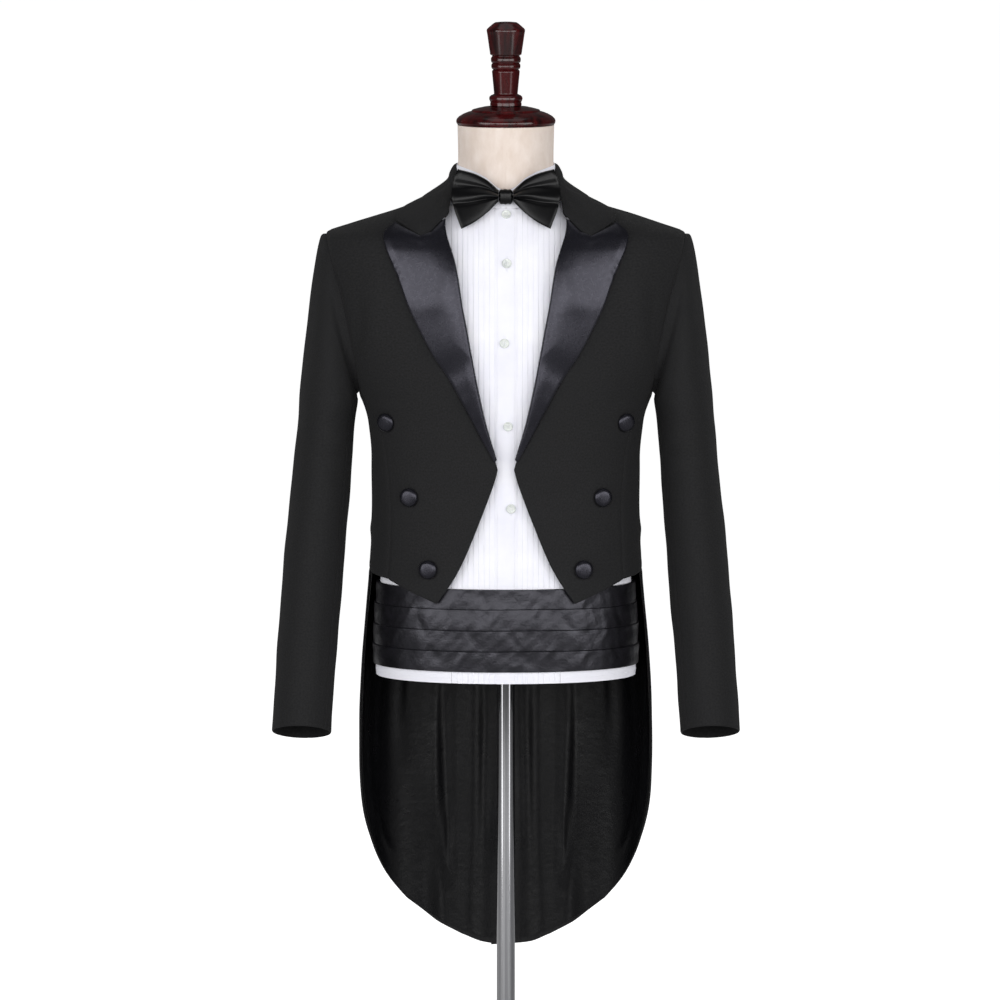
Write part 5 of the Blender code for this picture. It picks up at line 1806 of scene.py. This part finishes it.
    def build_collar(self) -> None:
        """Builds the stand collar, open at the centre front."""
        turns = np.linspace(0.1, 359.9, 181)
        aside = from_front(turns)
        share = np.array([0.0, 0.02, 0.06, 0.2, 0.4, 0.6, 0.8, 0.94, 0.98, 1.0])[:, None]
        low, high = SHIRT_NECK(aside) + 0.0006, COLLAR_TOP(aside)
        heights = low + (high - low) * share
        stations = paired(turns, heights)
        self.wall("shirt_collar", stations, turned="top left right", lay=COLLAR_LAY)

    def build_button(self, number: int) -> None:
        """Builds one button, with its four holes and the thread that crosses between them.

        Args:
            number: Its number, from the top, starting at 0.
        """
        x, height = self.buttons[number]
        name = f"shirt_button_{number + 1}"
        foot = SHIRT_LAY + SHIRTING + PLEAT_RISE + 0.0002 + 0.0006
        turn = math.copysign(float(FORM.turn_at(x, height)), x)
        seat = FORM.point(turn, height, foot)
        facing = unit(FORM.point(turn, height, foot + 0.01) - seat)
        button = turned_piece(name, self.button_profile, PEARL, 40, 40, seat, facing)
        side = unit(np.cross(np.array([0.0, 0.0, 1.0]), facing))
        up = np.cross(facing, side)
        hole_radius, hole_place = 0.00062, 0.00125
        cutter = bmesh.new()
        for a, b in ((1, 1), (1, -1), (-1, -1), (-1, 1)):
            hole = seat + facing * 0.0012 + (side * a + up * b) * hole_place
            bmesh.ops.create_cone(
                cutter, cap_ends=True, segments=12, radius1=hole_radius, radius2=hole_radius, depth=0.004,
                matrix=standing(hole, facing),
            )
        drill_mesh = bpy.data.meshes.new("drill")
        cutter.to_mesh(drill_mesh)
        cutter.free()
        drill = bpy.data.objects.new("drill", drill_mesh)
        bpy.context.scene.collection.objects.link(drill)
        cut = button.modifiers.new("Holes", "BOOLEAN")
        cut.object = drill
        cut.operation = "DIFFERENCE"
        holed = bpy.data.meshes.new_from_object(button.evaluated_get(bpy.context.evaluated_depsgraph_get()))
        button.modifiers.clear()
        button.data = holed
        bpy.data.objects.remove(drill)
        lines = []
        for a in (-1, 1):
            at = seat + facing * 0.00135 + side * a * hole_place
            lines.append(np.linspace(*(at + up * b * hole_place * 1.1 for b in (-1, 1)), 4))
        BUTTON_THREAD.sew(f"{name}_thread", lines, WHITE_THREAD)

    def sew(self) -> None:
        """Sews the placket, the collar, the hem and the buttonholes."""
        heights = np.arange(SHIRT_HEM + 0.004, float(SHIRT_NECK(5.0)) - 0.003, 0.004)
        inside = PLACKET_HALF - 0.0035
        lines = [self.placket_point(np.full(heights.shape, x), heights, 0.0002) for x in (-inside, inside)]
        LOCKSTITCH.sew("placket_stitches", lines, WHITE_THREAD)
        turns = np.linspace(3.0, 357.0, 240)
        aside = from_front(turns)
        lines = [
            FORM.point(turns, COLLAR_TOP(aside) - 0.0035, COLLAR_LAY + SHIRTING),
            FORM.point(turns, SHIRT_NECK(aside) + 0.0035, COLLAR_LAY + SHIRTING),
        ]
        LOCKSTITCH.sew("collar_stitches", lines, WHITE_THREAD)
        hem = FORM.point(np.linspace(20.0, 340.0, 220), SHIRT_HEM + 0.0062, SHIRT_LAY + SHIRTING + 0.0001)
        LOCKSTITCH.sew("hem_stitches_1", [hem], WHITE_THREAD)
        holes = []
        for x, height in self.buttons[1:]:
            for aside in (-0.0009, 0.0009):
                at = np.linspace(height - 0.0085, height + 0.0085, 8)
                holes.append(self.placket_point(np.full(at.shape, x + aside), at, 0.0003))
        PURL.sew("buttonhole_stitches", holes, WHITE_THREAD)


def cummerbund_folds() -> tuple[Fold, ...]:
    """Lists the cummerbund's small vertical creases and crushed places, in (turn, height)."""
    places = (
        (-57.0, 0.872, 0.1), (-49.0, 0.858, -0.1), (-35.0, 0.884, 0.12), (-22.0, 0.85, -0.08),
        (-9.0, 0.866, 0.1), (6.0, 0.842, -0.1), (19.0, 0.876, 0.1), (28.0, 0.835, 0.12),
        (38.0, 0.862, -0.12), (47.0, 0.888, 0.08), (56.0, 0.846, 0.1), (66.0, 0.868, -0.1),
        (-66.0, 0.838, 0.1), (-42.0, 0.826, -0.12), (-28.0, 0.818, 0.1), (13.0, 0.82, -0.08),
        (44.0, 0.82, 0.12), (-14.0, 0.89, -0.1), (33.0, 0.893, 0.1), (-52.0, 0.894, 0.1),
    )
    run, rows = 0.011, []
    for turn, height, lean in places:
        path = (turn - lean * 30, height - run), (turn + lean * 8, height), (turn + lean * 30, height + run)
        rows.append((0.0042, 0.0011 if lean > 0 else -0.001, *path))
    return creases(list, *rows)


@dataclass
class Cummerbund:
    """The satin cummerbund: a front of pleats that open upwards, and a plain band round the back."""

    columns: int = 230
    pleat_rows: tuple[float, ...] = (0.0, 0.03, 0.08, 0.2, 0.35, 0.5, 0.65, 0.78, 0.88, 0.935, 0.96)
    # How far the pleats' lines sag at the centre front, and the heights of the band's edges
    sag: float = -0.0006
    band: Place = (0.832, 0.876)

    def build(self) -> None:
        """Builds the pleated front and the band."""
        lay = SHIRT_LAY + SHIRTING + 0.0018
        turns = np.linspace(-101.0, 101.0, self.columns + 1)
        pleat = (CUMMERBUND_HIGH - CUMMERBUND_LOW) / CUMMERBUND_PLEATS
        shares = np.array(self.pleat_rows)
        heights, rises = [], []
        for number in range(CUMMERBUND_PLEATS):
            heights += list(CUMMERBUND_LOW + (number + shares) * pleat)
            rises += list(0.0001 + 0.0017 * shares**0.8)
        heights.append(CUMMERBUND_HIGH)
        rises.append(0.0004)
        grid = np.array(heights)[:, None] + 0 * turns
        inner_rows = ease((grid - CUMMERBUND_LOW) / 0.02) * ease((CUMMERBUND_HIGH - grid) / 0.02)
        shape = np.cos(
            np.radians(turns) * 1.5
        ) * (np.abs(turns) < 60) + 0.35 * np.sin(np.radians(turns) * 5)
        grid = grid - self.sag * shape * inner_rows
        stations = paired(turns, grid)
        plain = FORM.at(stations)
        relief = fold_relief(plain, cummerbund_folds(), FORM.at)
        relief += unevenness(plain, 0.0007, 0.045)
        relief *= ease((grid - CUMMERBUND_LOW) / 0.006) * ease((CUMMERBUND_HIGH - grid) / 0.006)
        rise = np.array(rises)[:, None] + np.maximum(relief, -0.001)
        outer, inner = FORM.at(stations, lay + 0.0014 + rise), FORM.at(stations, lay)
        # Its satin is cut with the warp across the body
        cloth_piece(
            "cummerbund_front", outer, inner, CUMMERBUND_SATIN, FORM.grain(stations)[..., ::-1]
        )
        turns = np.linspace(101.0, 259.0, 91)
        grid = np.linspace(*self.band, 13)[:, None]
        stations = with_close_edges(paired(turns, grid))
        plain = FORM.at(stations, lay + 0.0016)
        face = lay + 0.0016 + edge_relief(plain, "", "bottom top") * THIN_EDGE
        face = face + unevenness(plain, 0.0003, 0.05)
        outer, inner = FORM.at(stations, face), FORM.at(stations, lay)
        cloth_piece("cummerbund_band", outer, inner, CUMMERBUND_SATIN)


@dataclass(frozen=True)
class WingFold:
    """A fold of a bow's wing: how far up it lies at the knot and at the tip, its half width and its depth."""

    at_knot: float
    at_tip: float
    width: float
    depth: float


@dataclass
class BowTie:
    """The satin bow tie: two wings, given by their edges as (x, height), gathered by a knot."""

    bottom: tuple[Place, ...] = ((0.0086, 1.3565), (0.0215, 1.344), (0.038, 1.332), (0.053, 1.3245))
    top: tuple[Place, ...] = ((0.0086, 1.369), (0.024, 1.382), (0.04, 1.3895), (0.057, 1.394))
    outer_side: tuple[Place, ...] = ((0.0618, 1.348), (0.065, 1.363), (0.0618, 1.384))
    # How much the wings are raised to the knot's height
    lift: float = 0.0085
    rows: int = 64
    columns: int = 48
    knot_size: tuple[float, float, float] = (0.0166, 0.013, 0.0185)
    knot_centre: tuple[float, float, float] = (0.0, -0.0702, 1.37)
    folds: tuple[WingFold, ...] = (
        WingFold(0.52, 0.5, 0.11, 0.003), WingFold(0.69, 0.67, 0.05, -0.0022),
        WingFold(0.34, 0.34, 0.05, -0.0026),
    )

    def back_depth(self, x: Points, height: Points) -> Points:
        """Says how far forward the back of the bow lies: upright by the collar, and over the chest below it.

        Args:
            x: How far each place is from the middle.
            height: Its height.

        Returns:
            The distance in front of the body's axis.
        """
        over_chest = 0.46 * np.maximum(0.0, 1.38 - height)
        return 0.064 + over_chest - 0.06 * np.maximum(0.0, x - 0.04)

    def build(self) -> None:
        """Builds both wings and the knot."""
        outer_side = (self.bottom[-1], *self.outer_side, self.top[-1])
        stations = patch(
            spread(self.bottom, self.columns), spread(self.top, self.columns),
            spread((self.bottom[0], self.top[0]), self.rows), spread(outer_side, self.rows),
        )
        at_rows, at_columns = close_edges(self.rows + 1), close_edges(self.columns + 1)
        stations = read_grid(stations, at_rows, at_columns)
        x, height = stations[..., 0], stations[..., 1] + self.lift
        u, v = (at_columns / self.columns)[None, :], (at_rows / self.rows)[:, None]
        body = np.sin(math.pi * np.clip(v, 0.02, 0.98)) ** 0.35 * (0.007 - 0.003 * u)
        creases = 0 * (u + v)
        for fold in self.folds:
            middle = fold.at_knot + (fold.at_tip - fold.at_knot) * u
            creases = creases + fold.depth * np.exp(
                -(((v - middle) / fold.width) ** 2)
            ) * (1 - 0.55 * u**1.5)
        hem = 0.00012 * np.exp(-(((1 - u) * 0.055 - 0.0045) / 0.0016) ** 2)
        thick = np.maximum(0.0022, 0.0022 + body + creases * np.sin(math.pi * v) ** 0.5 + hem)
        rounded = np.clip(1 - np.minimum((1 - u) * 0.05, 0.003) / 0.003, 0, 1) ** 2
        thick = thick - 0.0012 * rounded
        back = self.back_depth(x, height)
        face = np.stack([x, -(back + thick), height], axis=-1)
        rear = np.stack([x, -back + 0 * x, height], axis=-1)
        for side in SIDES:
            cloth_piece("bow_wing_" + side, on_side(face, side), on_side(rear, side), TIE_SATIN)
        self.build_knot()

    def build_knot(self) -> None:
        """Builds the knot: a rounded wrap of satin with gathers that run round it from top to bottom."""
        steps, rings = 56, 40
        around = np.linspace(0, 2 * np.pi, steps, endpoint=False)
        across = np.linspace(-1, 1, rings + 1)
        half = np.array(self.knot_size) / 2
        round_power = 0.42
        width = np.sin(across * np.pi / 2)
        bulk = np.maximum(1e-4, 1 - np.abs(width) ** 5) ** (1 / 4)
        c, s = np.cos(around)[:, None], np.sin(around)[:, None]
        gather = 1 + (0.03 * np.cos(width * 9.0 + 0.6) - 0.03) * (np.abs(width) < 0.97)
        y = np.sign(c) * np.abs(c) ** (2 * round_power) * half[1] * bulk * gather
        z = np.sign(s) * np.abs(s) ** (2 * round_power) * half[2] * bulk * gather
        points = np.stack([half[0] * width + 0 * y, y, z], axis=-1) + np.array(self.knot_centre)
        at = np.arange(steps * (rings + 1)).reshape(steps, rings + 1)
        onward = np.roll(at, -1, axis=0)
        faces = np.stack([at[:, :-1], at[:, 1:], onward[:, 1:], onward[:, :-1]], axis=-1).reshape(-1, 4)
        flat = points.reshape(-1, 3)
        knot = mesh_object("bow_knot_cloth", flat, faces, flat[:, [0, 2]], TIE_SATIN.material())
        close_mesh(knot)
        knot.data.shade_smooth()
        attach(knot, "root")
        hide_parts("bow_knot")
        LOG.info("bow_knot_cloth: %d faces", len(knot.data.polygons))


@dataclass
class DressForm:
    """The linen-covered form with its neck cap and finial, on a chromed pole and base, in millimetres."""

    columns: int = 120
    rows: int = 150
    cap_profile: tuple[Place, ...] = (
        (0.0, 22.5), (16.0, 22.4), (26.0, 21.4), (34.0, 19.6), (40.0, 18.0), (40.8, 17.2), (41.2, 16.0),
        (45.5, 15.0), (51.0, 12.8), (56.0, 9.8), (58.8, 6.8), (59.4, 4.8), (59.2, 2.6), (57.5, 0.0),
        (0.0, 0.0),
    )
    finial_profile: tuple[Place, ...] = (
        (0.0, 100.0), (8.0, 99.9), (12.8, 99.4), (15.2, 98.0), (21.4, 92.6), (22.8, 91.1), (23.0, 89.6),
        (22.2, 85.0), (20.5, 73.0), (18.7, 61.0), (16.8, 60.0), (16.0, 59.2), (16.8, 58.4), (17.8, 56.8),
        (17.9, 54.0), (17.3, 51.8), (15.8, 50.7), (17.0, 49.6), (17.5, 48.0), (17.4, 45.8), (16.6, 44.0),
        (15.0, 43.0), (16.2, 42.0), (16.6, 40.8), (15.4, 28.0), (14.1, 14.2), (15.0, 13.4), (18.0, 12.2),
        (19.7, 10.4), (20.0, 8.0), (19.2, 5.6), (18.4, 4.0), (18.8, 2.8), (18.8, 0.0), (0.0, 0.0),
    )
    # The flange under the form, the tube, and its foot in the base's bore
    pole_profile: tuple[Place, ...] = (
        (0.0, 802.7), (33.2, 802.7), (34.0, 801.9), (34.0, 800.5), (33.2, 799.7), (14.0, 799.7),
        (11.8, 798.9), (11.0, 796.7), (11.0, 6.3), (0.0, 6.3),
    )
    # The bore, the hub round it and the plate
    base_profile: tuple[Place, ...] = (
        (0.0, 6.0), (11.3, 6.0), (11.3, 33.0), (12.1, 34.0), (18.5, 34.0), (21.0, 33.0), (22.0, 30.5),
        (22.0, 13.0), (24.4, 9.4), (30.0, 8.0), (169.0, 6.0), (173.0, 5.2), (175.0, 3.0), (175.0, 0.0),
        (0.0, 0.0),
    )

    def build(self) -> None:
        """Builds the form, the turned pieces above it and the stand below it."""
        self.build_torso()
        seat = NECK_TOP + LAY_GAP
        turned_piece("neck_cap", self.cap_profile, LACQUER, 130, 96, (0, 0, seat))
        seat += self.cap_profile[0][1] / 1000 + LAY_GAP
        turned_piece("finial", self.finial_profile, LACQUER, 260, 72, (0, 0, seat))
        turned_piece("stand_pole", self.pole_profile, CHROME, 420, 64)
        turned_piece("stand_base", self.base_profile, CHROME, 320, 112)

    def build_torso(self) -> None:
        """Builds the form's torso and neck, closed at the top and bottom."""
        turns = np.arange(self.columns) * 360 / self.columns
        heights = np.linspace(FORM_BOTTOM, NECK_TOP, self.rows + 1)
        ease_in = FORM_EASE * ease((NECK_BARE - heights) / 0.02)
        curl = 0.01
        away = 1 - np.clip((heights - FORM_BOTTOM) / curl, 0, 1)
        rounded = curl * (1 - np.sqrt(np.clip(1 - away**2, 0, 1)))
        stations = paired(turns, heights[:, None])
        rings = FORM.at(stations, -(ease_in + rounded)[:, None])
        rings[..., 2] = stations[..., 1]
        at = np.arange(rings.shape[0] * self.columns).reshape(-1, self.columns)
        onward = np.roll(at, -1, axis=1)
        faces = np.stack([at[:-1], onward[:-1], onward[1:], at[1:]], axis=-1).reshape(-1, 4)
        uv = FORM.grain(stations).reshape(-1, 2)
        torso = mesh_object("form_torso_linen", rings.reshape(-1, 3), faces, uv, LINEN.material())
        close_mesh(torso)
        torso.data.set_sharp_from_angle(angle=SHARP_ANGLE)
        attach(torso, "root")
        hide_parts("form_torso")
        LOG.info("form_torso_linen: %d faces", len(torso.data.polygons))


@dataclass(frozen=True)
class Lamp:
    """A soft rectangular lamp: its place, aim, size and power, and whether glossy things show it."""

    name: str
    place: tuple[float, float, float]
    aim: tuple[float, float, float]
    size: tuple[float, float]
    power: float
    shows: bool = True

    def hang(self, name: str, sign: float) -> None:
        """Hangs the lamp.

        Args:
            name: Its name.
            sign: 1, or -1 for the one on the right.
        """
        light = bpy.data.lights.new(name, "AREA")
        light.shape = "RECTANGLE"
        light.size, light.size_y = self.size
        light.energy = self.power
        holder = bpy.data.objects.new(name, light)
        holder.location = (sign * self.place[0], *self.place[1:])
        holder.visible_glossy = self.shows
        holder.rotation_euler = (Vector(self.aim) - holder.location).to_track_quat("-Z", "Y").to_euler()
        bpy.context.scene.collection.objects.link(holder)


WHITE = (1.0, 1.0, 1.0, 1.0)


@dataclass
class Studio:
    """A plain pale floor, soft light and the camera at the photograph's angle."""

    aim: tuple[float, float, float] = (-0.007, 0.0, 1.0)
    elevation: float = 6.0
    distance: float = 12.0
    lens: float = 360.0
    sensor: float = 36.0
    floor_half: float = 40.0
    ambient: float = 0.07
    floor_glow: float = 0.985
    lamps: tuple[Lamp, ...] = (
        Lamp("front", (0.0, -5.3, 2.15), (0.0, 0.0, 1.15), (4.4, 2.8), 140.0),
        Lamp("top", (0.0, 0.2, 4.5), (0.0, 0.0, 1.2), (2.5, 2.5), 10.0),
    )
    pairs: tuple[Lamp, ...] = (
        Lamp("front", (3.75, -3.75, 2.15), (0.0, 0.0, 1.15), (3.6, 2.8), 112.0),
        Lamp("low", (2.93, -2.73, 0.5), (0.0, 0.0, 0.5), (0.8, 1.0), 4.5),
        Lamp("back", (3.6, 4.2, 3.0), (0.0, 0.0, 1.1), (3.4, 2.4), 150.0, shows=False),
    )

    def build(self) -> None:
        """Builds the camera, the world, the lamps and the floor."""
        scene = bpy.context.scene
        scene.view_settings.view_transform = "Standard"
        camera = bpy.data.objects.new("camera", bpy.data.cameras.new("camera"))
        scene.collection.objects.link(camera)
        camera.data.lens = self.lens
        camera.data.sensor_width = self.sensor
        camera.data.clip_end = 200.0
        rise = math.radians(self.elevation)
        camera.location = Vector(self.aim) + self.distance * Vector((0.0, -math.cos(rise), math.sin(rise)))
        camera.rotation_euler = (math.radians(90) - rise, 0.0, 0.0)
        scene.camera = camera
        for lamp in self.lamps:
            lamp.hang(lamp.name, 1.0)
        for lamp in self.pairs:
            for side, sign in SIDES.items():
                lamp.hang(f"{lamp.name}_{side}", sign)
        self.build_world()
        self.build_floor()

    def build_world(self) -> None:
        """Builds the world: white where it is seen, and dimmer as a light."""
        world = bpy.data.worlds.new("studio")
        world.use_nodes = True
        tree = world.node_tree
        seen = add_node(tree, "ShaderNodeLightPath").outputs["Is Camera Ray"]
        strength = add_node(tree, "ShaderNodeMix", FLOAT, in_0=seen, in_2=self.ambient, in_3=1.0)
        wire(tree, tree.nodes["Background"], Color=WHITE, Strength=strength)
        bpy.context.scene.world = world

    def build_floor(self) -> None:
        """Builds the floor, a large plain sheet of pale paper."""
        build = bmesh.new()
        bmesh.ops.create_grid(build, x_segments=1, y_segments=1, size=self.floor_half)
        mesh = bpy.data.meshes.new("floor")
        build.to_mesh(mesh)
        build.free()
        paper = bpy.data.materials.new("Backdrop paper, rolled")
        paper.use_nodes = True
        tree = paper.node_tree
        # The paper shows as white as the world does, and lights the part only as plain paper would
        seen = add_node(tree, "ShaderNodeLightPath").outputs["Is Camera Ray"]
        glow = add_node(tree, "ShaderNodeMath", TIMES, in_0=seen, in_1=self.floor_glow)
        wire(
            tree, tree.nodes["Principled BSDF"], Base_Color=linear("#a6a6a6"), Roughness=0.9,
            Specular_IOR_Level=0.1, Emission_Color=WHITE, Emission_Strength=glow,
        )
        mesh.materials.append(paper)
        floor = bpy.data.objects.new("floor", mesh)
        bpy.context.scene.collection.objects.link(floor)
        floor.location.z = -0.0005


def main() -> None:
    """Builds the suit, the form that wears it and the studio."""
    logging.basicConfig(level=logging.INFO, format="%(name)s: %(message)s")
    for part in (
        CoatBody(), Lapels(), CoatCollar(), Sleeves(), CoatButtons(), DressShirt(), Cummerbund(), BowTie(),
        DressForm(), Studio(),
    ):
        LOG.info("building %s", type(part).__name__)
        part.build()


if __name__ == "__main__":
    main()
